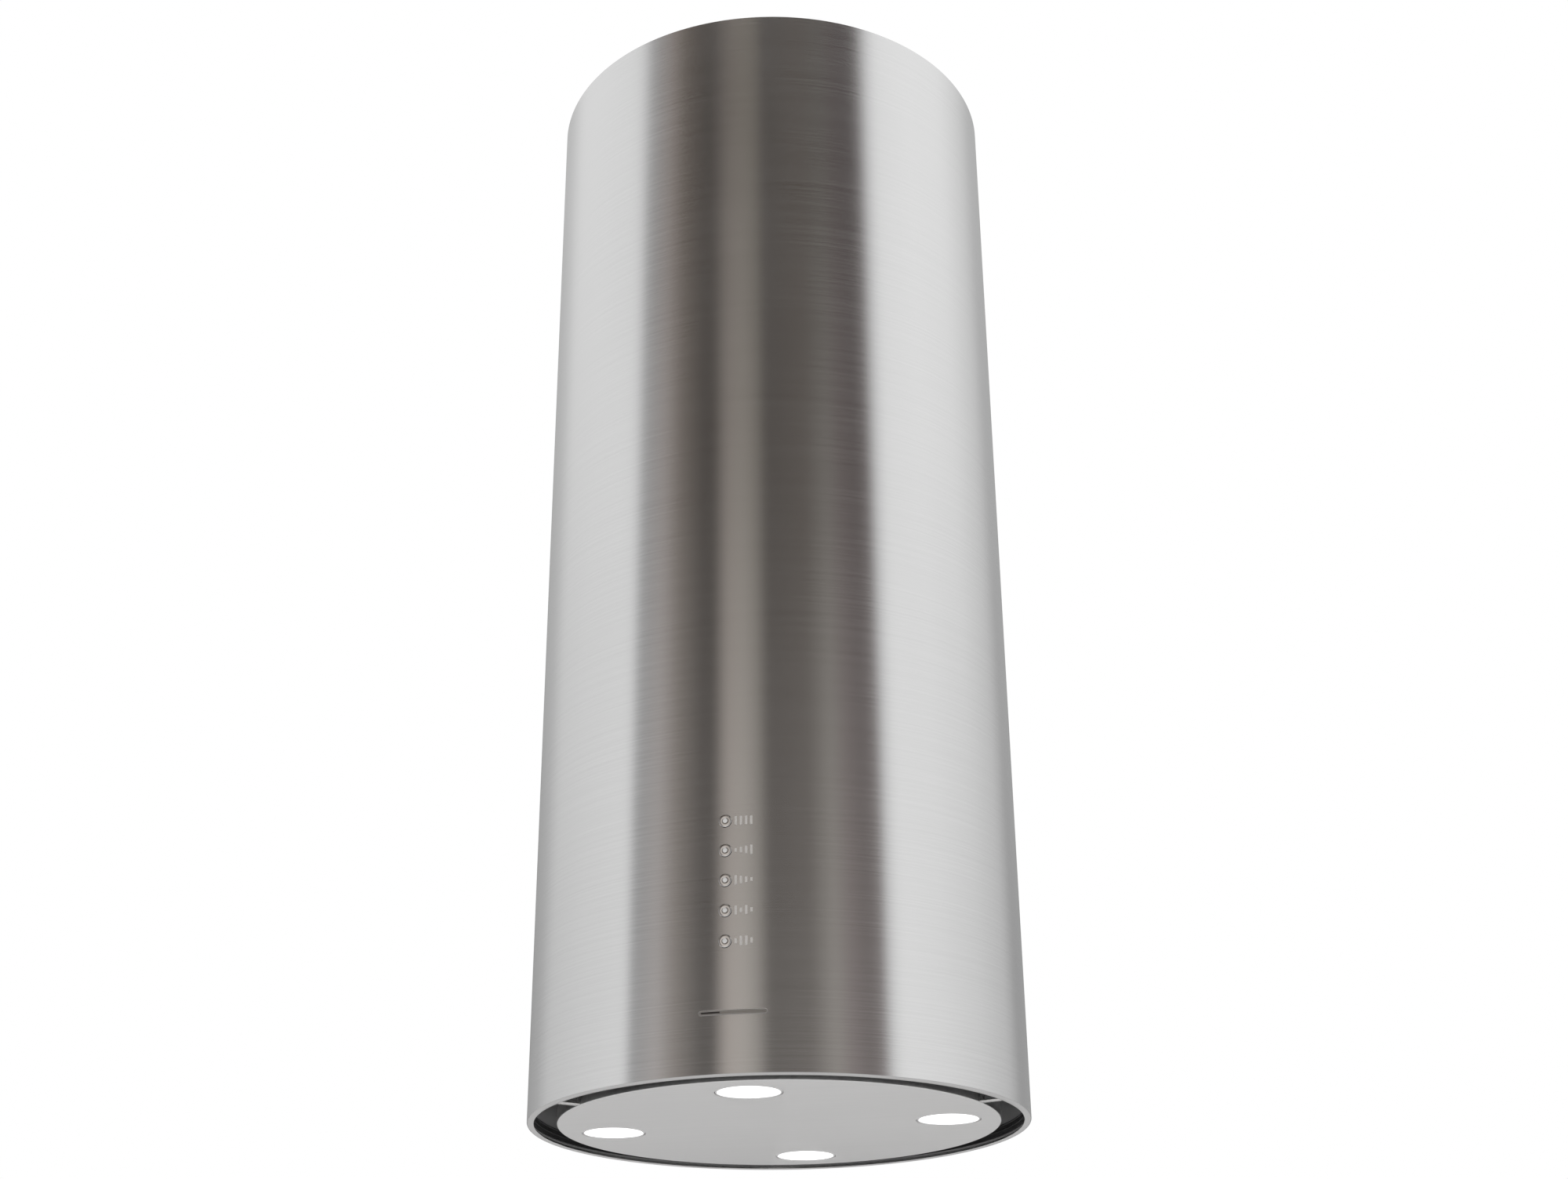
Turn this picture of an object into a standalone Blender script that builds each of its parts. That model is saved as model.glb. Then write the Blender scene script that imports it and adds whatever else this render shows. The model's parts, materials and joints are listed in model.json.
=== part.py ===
"""Cylindrical island range hood with perimeter suction, in metres, +Z up.

The origin is on the hood's axis in the ceiling plane and the hood hangs below it. The front, with the
push buttons, faces -Y. A bearing is an angle round the axis, in degrees, from the front towards +X.
Heights are measured up from the rim of the tube. Most pieces are drawn facing the front and then
turned to their bearing.

Nested steel angles hang from a ceiling plate and carry a round casing with a twin-inlet blower, an
outlet collar with two damper flaps, and the control box. A grey base ring under the casing holds the
round grease filter, and its skirt stands on the tube's lip, so it holds the tube up. The round lamp
panel hangs on a rear hinge and two spring clips, and leaves an even suction gap inside the rim.
"""

import math

import bmesh
import bpy
from mathutils import Matrix, Vector

MM = 0.001

# Driving dimensions, in metres and degrees
HOOD_HEIGHT = 900 * MM
TUBE_HEIGHT = 899.5 * MM
TUBE_RADIUS = 190 * MM
TUBE_WALL = 1 * MM
LIP_RADIUS = 184.7 * MM
RIM_BEND = 1.3 * MM
GAP = 0.3 * MM
SHEET = 1.2 * MM

PANEL_RADIUS = 167.5 * MM
PANEL_BASE = 0.3 * MM
PANEL_TOP = 11.5 * MM
PANEL_SHEET = 1 * MM
PANEL_BEND = 0.8 * MM

LAMPS = {"front": 0, "right": 90, "rear": 180, "left": 270}
LAMP_CIRCLE = 128.5 * MM
LAMP_RADIUS = 24 * MM
LAMP_FLANGE = 28 * MM
LENS_RADIUS = 22.2 * MM
LAMP_TOP = 27 * MM

HINGE_BEARING = 190
CLIPS = {"left": 310, "right": 70}
HINGE_RADIUS = 177.5 * MM
HINGE_HEIGHT = 7 * MM
PIN_RADIUS = 1.3 * MM
KNUCKLE_RADIUS = 2.6 * MM
TAB_HEIGHT = 1.5 * MM
TAB_REACH = 182.2 * MM

BASE_RADIUS = 188.4 * MM
BASE_TOP = 61.2 * MM
BASE_PORT = 150 * MM

FILTER_RADIUS = 148.5 * MM
FILTER_BASE = 48.5 * MM
FILTER_TOP = 58.5 * MM
FILTER_BEARING = 45
HANDLE_RADIUS = 127 * MM
HANDLE_HEIGHT = 45.5 * MM
HANDLE_HALF = 16 * MM
HANDLE_DROP = 16 * MM
LATCH_HALF = 12 * MM

CASING_RADIUS = 165 * MM
CASING_BASE = BASE_TOP + GAP
CASING_TOP = 360 * MM

SCROLL_Y = -57.5 * MM
SCROLL_HEIGHT = 208 * MM
SCROLL_HALF_WIDTH = 62 * MM
SCROLL_WALL = 2 * MM
SCROLL_RADIUS = 82 * MM
SCROLL_GROWTH = 28 * MM
SCROLL_SWEEP = 270
NECK_HALF_DEPTH = 52.5 * MM
INLET_RADIUS = 56 * MM

WHEEL_RADIUS = 70 * MM
WHEEL_HALF_WIDTH = 50 * MM
WHEEL_INNER = 59 * MM
WHEEL_BLADES = 24
MOTOR_RADIUS = 36 * MM
SHAFT_RADIUS = 4 * MM

COLLAR_RADIUS = 75 * MM
COLLAR_BORE = 73 * MM
COLLAR_LEDGE = 69 * MM
COLLAR_FLANGE = 92 * MM
COLLAR_TOP = 445 * MM
DAMPER_HEIGHT = 363.3 * MM

FRAME_HALF = 100 * MM
ANGLE_LEG = 22 * MM
ANGLE_SHEET = 1.5 * MM
LOWER_ANGLE_TOP = 650 * MM
UPPER_ANGLE_BASE = 560 * MM
CEILING_RADIUS = 180 * MM
CEILING_SHEET = 2.5 * MM
DUCT_HOLE_RADIUS = 90 * MM
ANCHOR_RADIUS = 135 * MM

BUTTONS = ("power", "speed_up", "speed_down", "timer", "light")
BUTTON_X = -5.5 * MM
BUTTON_TOP_HEIGHT = 180.4 * MM
BUTTON_PITCH = 21.9 * MM
BUTTON_RADIUS = 4.5 * MM

BADGE_HEIGHT = 43 * MM
BADGE_ARC = 14.6
BADGE_WIDTH = 3.4 * MM

BOX_LOW = (-60 * MM, -150 * MM, 361 * MM)
BOX_HIGH = (60 * MM, -98 * MM, 436 * MM)

CABLE_RADIUS = 1.6 * MM
LEAD_OFFSET = 25 * MM
LEAD_RADIUS = 182 * MM
LEAD_GAP = 1.5 * MM

ROUND_STEPS = 72
MID_STEPS = 48
SMALL_STEPS = 24
TINY_STEPS = 12


def up(height):
    """World z of a height above the rim."""
    return height - HOOD_HEIGHT


def at(x, y, height):
    return Vector((x, y, up(height)))


def around(bearing, radius, height):
    """World point at a bearing from the front, a radius and a height."""
    turn = math.radians(bearing)
    return Vector((radius * math.sin(turn), -radius * math.cos(turn), up(height)))


# ------------------------------------------------------------------ scene and materials


def new_collection(name):
    made = bpy.data.collections.new(name)
    bpy.context.scene.collection.children.link(made)
    return made


def material(name, colour, roughness, metallic):
    made = bpy.data.materials.new(name)
    made.use_nodes = True
    shader = made.node_tree.nodes["Principled BSDF"]
    shader.inputs["Base Color"].default_value = (*colour, 1)
    shader.inputs["Roughness"].default_value = roughness
    shader.inputs["Metallic"].default_value = metallic
    return made


for old in list(bpy.data.objects):
    bpy.data.objects.remove(old)
HOOD = new_collection("island_range_hood")
CUTTERS = new_collection("cutters")
CUTTERS.hide_render = True

STAINLESS = material("brushed_stainless", (0.62, 0.61, 0.60), 0.28, 1.0)
GALVANISED = material("galvanised_steel", (0.50, 0.52, 0.53), 0.45, 1.0)
SPRING_STEEL = material("spring_steel", (0.66, 0.66, 0.65), 0.30, 1.0)
ALUMINIUM = material("filter_aluminium", (0.70, 0.71, 0.72), 0.38, 1.0)
CHROME = material("chrome", (0.80, 0.80, 0.80), 0.10, 1.0)
GREY_STEEL = material("grey_painted_steel", (0.34, 0.34, 0.345), 0.50, 0.0)
BLACK_PLASTIC = material("black_plastic", (0.020, 0.020, 0.022), 0.50, 0.0)
BADGE_GREY = material("badge_grey", (0.06, 0.055, 0.05), 0.35, 0.5)
FROSTED_GLASS = material("frosted_glass", (0.95, 0.95, 0.93), 0.30, 0.0)
BOARD_GREEN = material("board_green", (0.03, 0.16, 0.07), 0.45, 0.0)
CABLE_GREY = material("cable_grey", (0.22, 0.22, 0.23), 0.55, 0.0)


# ------------------------------------------------------------------ basic shapes


def add_object(name, data, finish):
    """A new object in the hood's collection. A cutter has no finish until it cuts something."""
    made = bpy.data.objects.new(name, data)
    HOOD.objects.link(made)
    if finish is not None:
        data.materials.append(finish)
    return made


def object_from(name, shape, finish):
    """An object whose mesh is the bmesh given, which this frees."""
    mesh = bpy.data.meshes.new(name)
    bmesh.ops.recalc_face_normals(shape, faces=shape.faces)
    shape.to_mesh(mesh)
    shape.free()
    return add_object(name, mesh, finish)


def box(name, lo, hi, finish):
    """A box between two world corners."""
    shape = bmesh.new()
    bmesh.ops.create_cube(shape, size=1)
    bmesh.ops.scale(shape, vec=Vector(hi) - Vector(lo), verts=shape.verts)
    bmesh.ops.translate(shape, vec=(Vector(lo) + Vector(hi)) / 2, verts=shape.verts)
    return object_from(name, shape, finish)


def front_box(name, half_width, inner, outer, low, high, finish):
    """A box that faces the front, between two radii and two heights."""
    return box(name, at(-half_width, -outer, low), at(half_width, -inner, high), finish)


def rod(name, radius, centre, length, direction, finish, steps=SMALL_STEPS):
    """A round bar centred on a point, along a direction."""
    shape = bmesh.new()
    bmesh.ops.create_cone(
        shape, cap_ends=True, segments=steps, radius1=radius, radius2=radius, depth=length
    )
    turn = Vector(direction).to_track_quat("Z", "Y").to_matrix().to_4x4()
    bmesh.ops.transform(shape, matrix=Matrix.Translation(centre) @ turn, verts=shape.verts)
    return object_from(name, shape, finish)


def turned(name, profile, finish, steps=ROUND_STEPS):
    """A shape turned about Z from (radius, height) points that run down the outer side first.

    A profile that starts on the axis also ends on it. Any other profile is closed into a ring.
    """
    mesh = bpy.data.meshes.new(name)
    count = len(profile)
    edges = [(i, i + 1) for i in range(count - 1)]
    if profile[0][0] > 0:
        edges.append((count - 1, 0))
    mesh.from_pydata([(radius, 0, up(height)) for radius, height in profile], edges, [])
    made = add_object(name, mesh, finish)
    screw = made.modifiers.new("turn", "SCREW")
    screw.steps = steps
    screw.render_steps = steps
    screw.use_merge_vertices = True
    screw.merge_threshold = 0.00001
    return made


def combine(obj, other, operation):
    """Joins another object to obj, or takes it away, and keeps it as a hidden helper."""
    for home in list(other.users_collection):
        home.objects.unlink(other)
    CUTTERS.objects.link(other)
    other.hide_render = True
    other.display_type = "WIRE"
    step = obj.modifiers.new(operation.lower(), "BOOLEAN")
    step.operation = operation
    step.object = other
    return obj


def join(obj, other):
    return combine(obj, other, "UNION")


def cut(obj, other):
    return combine(obj, other, "DIFFERENCE")


def drill(obj, radius, centre, length, direction=(0, 0, 1), steps=SMALL_STEPS):
    return cut(obj, rod(obj.name + "_drill", radius, centre, length, direction, None, steps))


def flat_outline(name, outlines, thickness, finish):
    """A plate in the XY plane, centred on z = 0, from an outer outline and the holes in it."""
    curve = bpy.data.curves.new(name + "_outline", "CURVE")
    curve.dimensions = "2D"
    curve.fill_mode = "BOTH"
    curve.extrude = thickness / 2
    for points in outlines:
        spline = curve.splines.new("POLY")
        spline.points.add(len(points) - 1)
        for target, (x, y) in zip(spline.points, points):
            target.co = (x, y, 0, 1)
        spline.use_cyclic_u = True
    guide = add_object(name + "_outline", curve, None)
    bpy.context.view_layer.update()
    graph = bpy.context.evaluated_depsgraph_get()
    mesh = bpy.data.meshes.new_from_object(guide.evaluated_get(graph))
    bpy.data.objects.remove(guide)
    shape = bmesh.new()
    shape.from_mesh(mesh)
    bmesh.ops.remove_doubles(shape, verts=shape.verts, dist=0.00001)
    return object_from(name, shape, finish)


def upright_plate(name, outlines, x, thickness, finish):
    """A plate whose outlines are (y, height) points, centred on an x."""
    made = flat_outline(name, outlines, thickness, finish)
    made.rotation_euler = (math.pi / 2, 0, math.pi / 2)
    made.location = (x, 0, up(0))
    return made


def bent_strip(name, route, width, thickness, finish):
    """A strip of sheet bent along (outward, height) points, facing the front."""
    shape = bmesh.new()
    rows = [
        [shape.verts.new((side * width / 2, -outward, up(height))) for side in (-1, 1)]
        for outward, height in route
    ]
    for a, b in zip(rows, rows[1:]):
        shape.faces.new((a[0], a[1], b[1], b[0]))
    made = object_from(name, shape, finish)
    thicken = made.modifiers.new("sheet", "SOLIDIFY")
    thicken.thickness = thickness
    thicken.offset = 0
    thicken.use_even_offset = True
    return made


def cable(name, route, radius, finish, bends=4):
    """A round cable or wire along world points, with its bends drawn as a smooth curve."""
    curve = bpy.data.curves.new(name, "CURVE")
    curve.dimensions = "3D"
    curve.bevel_depth = radius
    curve.bevel_resolution = 2
    curve.use_fill_caps = True
    points = smooth_route(route, bends)
    spline = curve.splines.new("POLY")
    spline.points.add(len(points) - 1)
    for target, point in zip(spline.points, points):
        target.co = (*point, 1)
    return add_object(name, curve, finish)


def smooth_route(route, steps):
    """Points along a Catmull-Rom curve through the route."""
    ends = [route[0] * 2 - route[1], *route, route[-1] * 2 - route[-2]]
    points = []
    for a, b, c, d in zip(ends, ends[1:], ends[2:], ends[3:]):
        for i in range(steps):
            t = i / steps
            even = 2 * b + (2 * a - 5 * b + 4 * c - d) * t**2
            odd = (c - a) * t + (3 * b - a - 3 * c + d) * t**3
            points.append((even + odd) / 2)
    points.append(route[-1])
    return points


def circle(radius, centre=(0, 0), steps=MID_STEPS):
    """Points of a circle, as (x, y)."""
    turns = [2 * math.pi * i / steps for i in range(steps)]
    return [(centre[0] + radius * math.cos(t), centre[1] + radius * math.sin(t)) for t in turns]


def quarter_bend(centre, radius, steps=4):
    """(radius, height) points of a bend, from its outer side round to its underside."""
    turns = [math.radians(90 * i / steps) for i in range(steps + 1)]
    return [(centre[0] + radius * math.cos(t), centre[1] - radius * math.sin(t)) for t in turns]


def turn_to(obj, bearing):
    """Swings an object that was drawn facing the front, and its helpers, round the hood's axis."""
    obj.matrix_basis = Matrix.Rotation(math.radians(bearing), 4, "Z") @ obj.matrix_basis
    for step in obj.modifiers:
        if step.type == "BOOLEAN":
            turn_to(step.object, bearing)
    return obj


# ------------------------------------------------------------------ tube and badge


def make_outer_tube():
    """One rolled sheet with its rim bent inwards to a narrow lip."""
    bend_centre = (TUBE_RADIUS - RIM_BEND, RIM_BEND)
    inner_bend = quarter_bend(bend_centre, RIM_BEND - TUBE_WALL)
    profile = [
        (TUBE_RADIUS, TUBE_HEIGHT),
        *quarter_bend(bend_centre, RIM_BEND),
        (LIP_RADIUS, 0),
        (LIP_RADIUS, TUBE_WALL),
        *reversed(inner_bend),
        (TUBE_RADIUS - TUBE_WALL, TUBE_HEIGHT),
    ]
    tube = turned("outer_tube", profile, STAINLESS)
    for i in range(len(BUTTONS)):
        centre = at(BUTTON_X, -TUBE_RADIUS, BUTTON_TOP_HEIGHT - i * BUTTON_PITCH)
        drill(tube, BUTTON_RADIUS + 0.4 * MM, centre, 12 * MM, (0, 1, 0), TINY_STEPS)


def make_badge():
    """A plain curved badge plate under the buttons."""
    inner = TUBE_RADIUS + GAP
    outer = inner + 0.7 * MM
    arc = [math.radians(BADGE_ARC * (i / 8 - 0.5)) for i in range(9)]
    outline = [(inner * math.sin(a), -inner * math.cos(a)) for a in arc]
    outline += [(outer * math.sin(a), -outer * math.cos(a)) for a in reversed(arc)]
    badge = flat_outline("badge_plate", [outline], BADGE_WIDTH, BADGE_GREY)
    badge.location.z = up(BADGE_HEIGHT)


# ------------------------------------------------------------------ base ring and grease filter


def make_base_ring():
    """Grey ring that lines the rim, roofs the suction gap and frames the filter's port."""
    skirt_base = 2.5 * MM
    plate_base = BASE_TOP - SHEET
    profile = [
        (BASE_RADIUS, BASE_TOP),
        (BASE_RADIUS, skirt_base),
        (BASE_RADIUS - SHEET, skirt_base),
        (BASE_RADIUS - SHEET, plate_base),
        (BASE_PORT + SHEET, plate_base),
        (BASE_PORT + SHEET, FILTER_BASE),
        (BASE_PORT, FILTER_BASE),
        (BASE_PORT, BASE_TOP),
    ]
    ring = turned("base_ring", profile, GREY_STEEL)
    lead = Matrix.Rotation(math.radians(HINGE_BEARING), 3, "Z") @ lead_line(BASE_TOP)
    drill(ring, CABLE_RADIUS + 1 * MM, lead, 10 * MM)


def lead_line(height):
    """Where the lamp lead runs beside the hinge, drawn facing the front."""
    return at(LEAD_OFFSET, -LEAD_RADIUS, height)


def make_filter_hooks():
    """Two fixed hooks that carry the filter's far edge."""
    route = [
        (162 * MM, 59.1 * MM),
        (152.1 * MM, 59.1 * MM),
        (152.1 * MM, 47.6 * MM),
        (141 * MM, 47.6 * MM),
    ]
    for side, offset in (("left", 25), ("right", -25)):
        hook = bent_strip("filter_hook_" + side, route, 14 * MM, SHEET, SPRING_STEEL)
        turn_to(hook, FILTER_BEARING + 180 + offset)


def make_filter():
    """Round cassette: a channel ring with two handle lugs, and the mesh pad inside it."""
    lip = 136 * MM
    profile = [
        (FILTER_RADIUS, FILTER_TOP),
        (FILTER_RADIUS, FILTER_BASE),
        (lip, FILTER_BASE),
        (lip, FILTER_BASE + SHEET),
        (FILTER_RADIUS - SHEET, FILTER_BASE + SHEET),
        (FILTER_RADIUS - SHEET, FILTER_TOP - SHEET),
        (lip, FILTER_TOP - SHEET),
        (lip, FILTER_TOP),
    ]
    ring = turned("filter_frame", profile, ALUMINIUM)
    for side in (-1, 1):
        middle = side * HANDLE_HALF
        lo = at(middle - 1 * MM, -141 * MM, 42 * MM)
        hi = at(middle + 1 * MM, -123.5 * MM, FILTER_BASE + 0.6 * MM)
        join(ring, box("filter_lug", lo, hi, None))
    axis = at(0, -HANDLE_RADIUS, HANDLE_HEIGHT)
    drill(ring, 1.8 * MM, axis, 50 * MM, (1, 0, 0), TINY_STEPS)
    turn_to(ring, FILTER_BEARING)
    pad_radius = FILTER_RADIUS - SHEET - GAP
    pad_top = FILTER_TOP - SHEET - GAP
    pad_base = FILTER_BASE + SHEET + GAP
    pad = [(0, pad_top), (pad_radius, pad_top), (pad_radius, pad_base), (0, pad_base)]
    turned("filter_mesh", pad, ALUMINIUM, MID_STEPS)


def make_filter_handle():
    """Wire bail that hangs from the filter's lugs, with its ends turned out through them."""
    half = HANDLE_HALF
    inside = half - 4 * MM
    bend = 2.5 * MM
    side = [
        Vector((-half - 3 * MM, 0, 0)),
        Vector((-inside - bend, 0, 0)),
        Vector((-inside, 0, -bend)),
        Vector((-inside, 0, bend - HANDLE_DROP)),
        Vector((bend - inside, 0, -HANDLE_DROP)),
    ]
    corners = side + [Vector((-p.x, p.y, p.z)) for p in reversed(side)]
    bail = cable("filter_handle", corners, 1.3 * MM, SPRING_STEEL, bends=3)
    bail.location = at(0, -HANDLE_RADIUS, HANDLE_HEIGHT)
    turn_to(bail, FILTER_BEARING)


def make_filter_latch():
    """Slide that carries the filter's near edge, with a finger tab, in a strap under the base ring."""
    route = [(143 * MM, 47.4 * MM), (168 * MM, 47.4 * MM), (168 * MM, 35 * MM)]
    latch = bent_strip("filter_latch", route, 2 * LATCH_HALF, 1.6 * MM, SPRING_STEEL)
    turn_to(latch, FILTER_BEARING)
    wall = LATCH_HALF + 1.5 * MM
    ear = wall + 8 * MM
    top = 59.1 * MM
    bottom = 45.2 * MM
    across = [(-ear, top), (-wall, top), (-wall, bottom), (wall, bottom), (wall, top), (ear, top)]
    strap = bent_strip("latch_strap", across, 8 * MM, SHEET, GALVANISED)
    strap.rotation_euler.z = math.pi / 2
    strap.location.y = -158 * MM
    turn_to(strap, FILTER_BEARING)


# ------------------------------------------------------------------ lamp panel


def make_panel():
    """Round stainless pan, open above, with a hole for each lamp."""
    inner = PANEL_RADIUS - PANEL_SHEET
    floor = PANEL_BASE + PANEL_SHEET
    bend_centre = (PANEL_RADIUS - PANEL_BEND, PANEL_BASE + PANEL_BEND)
    profile = [
        (0, floor),
        (inner, floor),
        (inner, PANEL_TOP),
        (PANEL_RADIUS, PANEL_TOP),
        *quarter_bend(bend_centre, PANEL_BEND, 3),
        (0, PANEL_BASE),
    ]
    panel = turned("bottom_panel", profile, STAINLESS)
    for bearing in LAMPS.values():
        drill(panel, LAMP_RADIUS + 0.4 * MM, around(bearing, LAMP_CIRCLE, PANEL_BASE), 20 * MM)
    return panel


def make_lamp(name, bearing):
    """One flush lamp: its can, whose flange stands on the panel's inside, and the lens in its mouth."""
    bore = LENS_RADIUS + 0.4 * MM
    flange_base = PANEL_BASE + PANEL_SHEET + GAP
    flange_top = flange_base + SHEET
    mouth = 0.2 * MM
    ceiling = LAMP_TOP - SHEET
    can_profile = [
        (0, LAMP_TOP),
        (LAMP_RADIUS, LAMP_TOP),
        (LAMP_RADIUS, flange_top),
        (LAMP_FLANGE, flange_top),
        (LAMP_FLANGE, flange_base),
        (LAMP_RADIUS, flange_base),
        (LAMP_RADIUS, mouth),
        (bore, mouth),
        (bore, ceiling),
        (0, ceiling),
    ]
    lens_top = 4 * MM
    lens_base = mouth + 0.1 * MM
    lens_profile = [
        (0, lens_top),
        (LENS_RADIUS, lens_top),
        (LENS_RADIUS, lens_base + 0.6 * MM),
        (LENS_RADIUS - 0.6 * MM, lens_base),
        (0, lens_base),
    ]
    pieces = [
        turned("lamp_can_" + name, can_profile, CHROME, SMALL_STEPS),
        turned("lamp_lens_" + name, lens_profile, FROSTED_GLASS, SMALL_STEPS),
    ]
    for piece in pieces:
        piece.location.y = -LAMP_CIRCLE
        turn_to(piece, bearing)
    return pieces


def make_panel_tabs():
    """Bright tabs that cross the suction gap, with an upturned end for the spring clips to grip."""
    inner = PANEL_RADIUS + GAP + SHEET / 2
    route = [
        (inner, PANEL_TOP - 2 * MM),
        (inner, TAB_HEIGHT),
        (TAB_REACH, TAB_HEIGHT),
        (TAB_REACH, TAB_HEIGHT + 6.5 * MM),
    ]
    tabs = []
    for side, bearing in CLIPS.items():
        tab = bent_strip("panel_tab_" + side, route, 7 * MM, SHEET, SPRING_STEEL)
        tabs.append(turn_to(tab, bearing))
    return tabs


def make_spring_clips():
    """Leaf springs on the base ring's skirt whose noses press on the tabs' upturned ends."""
    foot = BASE_RADIUS - SHEET - GAP - 0.3 * MM
    nose = TAB_REACH + 1.4 * MM
    route = [(foot, 40 * MM), (foot, 9 * MM), (nose, 5.5 * MM), (foot, 3.2 * MM)]
    for side, bearing in CLIPS.items():
        clip = bent_strip("spring_clip_" + side, route, 12 * MM, 0.6 * MM, SPRING_STEEL)
        turn_to(clip, bearing)


def make_hinge():
    """The panel's rear hinge: a leaf on the skirt, a bracket under the base ring and the pin."""
    axis = at(0, -HINGE_RADIUS, HINGE_HEIGHT)
    sideways = (1, 0, 0)
    bore = PIN_RADIUS + 0.3 * MM
    leaf_half = 8 * MM
    skirt = PANEL_RADIUS + GAP
    leaf = rod("hinge_leaf", KNUCKLE_RADIUS, axis, 2 * leaf_half, sideways, SPRING_STEEL)
    arm = front_box(
        "hinge_arm", leaf_half - 0.5 * MM, skirt + 0.5 * MM, HINGE_RADIUS - 1.8 * MM,
        HINGE_HEIGHT - 0.6 * MM, HINGE_HEIGHT + 0.6 * MM, None,
    )
    plate = front_box(
        "hinge_plate", leaf_half, skirt, skirt + SHEET, PANEL_BASE + 1.5 * MM, PANEL_TOP - 0.5 * MM, None
    )
    join(leaf, arm)
    join(leaf, plate)
    drill(leaf, bore, axis, 40 * MM, sideways, TINY_STEPS)

    bracket_half = 14 * MM
    plate_under = BASE_TOP - SHEET - GAP
    bracket = front_box(
        "hinge_bracket", bracket_half, HINGE_RADIUS - 0.6 * MM, HINGE_RADIUS + 0.6 * MM,
        HINGE_HEIGHT + 2 * MM, plate_under, SPRING_STEEL,
    )
    knuckles = rod("hinge_knuckles", KNUCKLE_RADIUS, axis, 2 * bracket_half, sideways, None)
    foot = front_box(
        "hinge_foot", bracket_half, HINGE_RADIUS - 14 * MM, HINGE_RADIUS,
        plate_under - SHEET, plate_under, None,
    )
    window = front_box(
        "hinge_window", leaf_half + 0.4 * MM, HINGE_RADIUS - 4 * MM, HINGE_RADIUS + 4 * MM,
        HINGE_HEIGHT - 4 * MM, HINGE_HEIGHT + 4 * MM, None,
    )
    join(bracket, knuckles)
    join(bracket, foot)
    cut(bracket, window)
    drill(bracket, bore, axis, 40 * MM, sideways, TINY_STEPS)

    pin = rod("hinge_pin", PIN_RADIUS, axis, 2 * bracket_half + 2 * MM, sideways, CHROME, TINY_STEPS)
    for piece in (leaf, bracket, pin):
        turn_to(piece, HINGE_BEARING)
    return leaf


def hinge_frame(points):
    """Points drawn facing the front, turned to the hinge."""
    turn = Matrix.Rotation(math.radians(HINGE_BEARING), 3, "Z")
    return [turn @ point for point in points]


def make_lamp_lead():
    """Fixed lead from the hinge's axis up beside the casing to the control box."""
    meeting = 20 * MM
    rise = [
        at(meeting, -HINGE_RADIUS, HINGE_HEIGHT),
        at(meeting + 2 * MM, -HINGE_RADIUS, HINGE_HEIGHT),
        at(LEAD_OFFSET - 0.5 * MM, -HINGE_RADIUS - 1 * MM, HINGE_HEIGHT + 4 * MM),
        lead_line(30 * MM),
        lead_line(120 * MM),
        lead_line(240 * MM),
        lead_line(340 * MM),
    ]
    over_casing = [around(b, 153 * MM, 368 * MM) for b in (205, 232, 259, 286, 308, 322)]
    entry = [at(-78 * MM, -128 * MM, 372 * MM), at(BOX_LOW[0] - LEAD_GAP, -128 * MM, 374 * MM)]
    route = hinge_frame(rise) + over_casing + entry
    cable("lamp_lead", route, CABLE_RADIUS, CABLE_GREY, bends=3)


def make_lamp_harness():
    """Lead in the pan: from the hinge's axis over the skirt and then past the four cans."""
    meeting = 18.3 * MM
    floor = PANEL_BASE + PANEL_SHEET + GAP + CABLE_RADIUS
    loop_radius = LAMP_CIRCLE - LAMP_FLANGE - CABLE_RADIUS - GAP
    over_skirt = [
        at(meeting, -HINGE_RADIUS, HINGE_HEIGHT),
        at(meeting - 1.2 * MM, -HINGE_RADIUS, HINGE_HEIGHT),
        at(16 * MM, -174.5 * MM, HINGE_HEIGHT + 4 * MM),
        at(17 * MM, -167 * MM, PANEL_TOP + 4 * MM),
        at(17 * MM, -160 * MM, PANEL_TOP + 1.5 * MM),
    ]
    inwards = [around(197, 148 * MM, floor + 2.5 * MM), around(200, 125 * MM, floor + 0.5 * MM)]
    loop = [around(bearing, loop_radius, floor) for bearing in range(212, 532, 16)]
    route = hinge_frame(over_skirt) + inwards + loop
    return cable("lamp_harness", route, CABLE_RADIUS, CABLE_GREY, bends=2)


# ------------------------------------------------------------------ blower


def make_casing():
    """Round casing round the blower, open below, with a hole for the blower's neck."""
    wall = CASING_RADIUS - SHEET
    flange = CASING_RADIUS + 11 * MM
    profile = [
        (0, CASING_TOP),
        (CASING_RADIUS, CASING_TOP),
        (CASING_RADIUS, CASING_BASE + SHEET),
        (flange, CASING_BASE + SHEET),
        (flange, CASING_BASE),
        (wall, CASING_BASE),
        (wall, CASING_TOP - SHEET),
        (0, CASING_TOP - SHEET),
    ]
    casing = turned("blower_casing", profile, GALVANISED)
    neck_half = SCROLL_HALF_WIDTH - SCROLL_WALL
    lo = at(-neck_half, -NECK_HALF_DEPTH, CASING_TOP - 9 * MM)
    hi = at(neck_half, NECK_HALF_DEPTH, CASING_TOP + 9 * MM)
    cut(casing, box("neck_hole", lo, hi, None))
    drill(casing, 5 * MM, MOTOR_LEAD_HOLE, 10 * MM)


MOTOR_LEAD_HOLE = at(82 * MM, -122 * MM, CASING_TOP)


def spiral(radius):
    """(y, height) points of the scroll, from above its centre round its front to its back."""
    points = []
    steps = 27
    for i in range(steps + 1):
        turn = math.radians(SCROLL_SWEEP * i / steps)
        reach = radius + SCROLL_GROWTH * i / steps
        points.append((SCROLL_Y - reach * math.sin(turn), SCROLL_HEIGHT + reach * math.cos(turn)))
    return points


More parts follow.
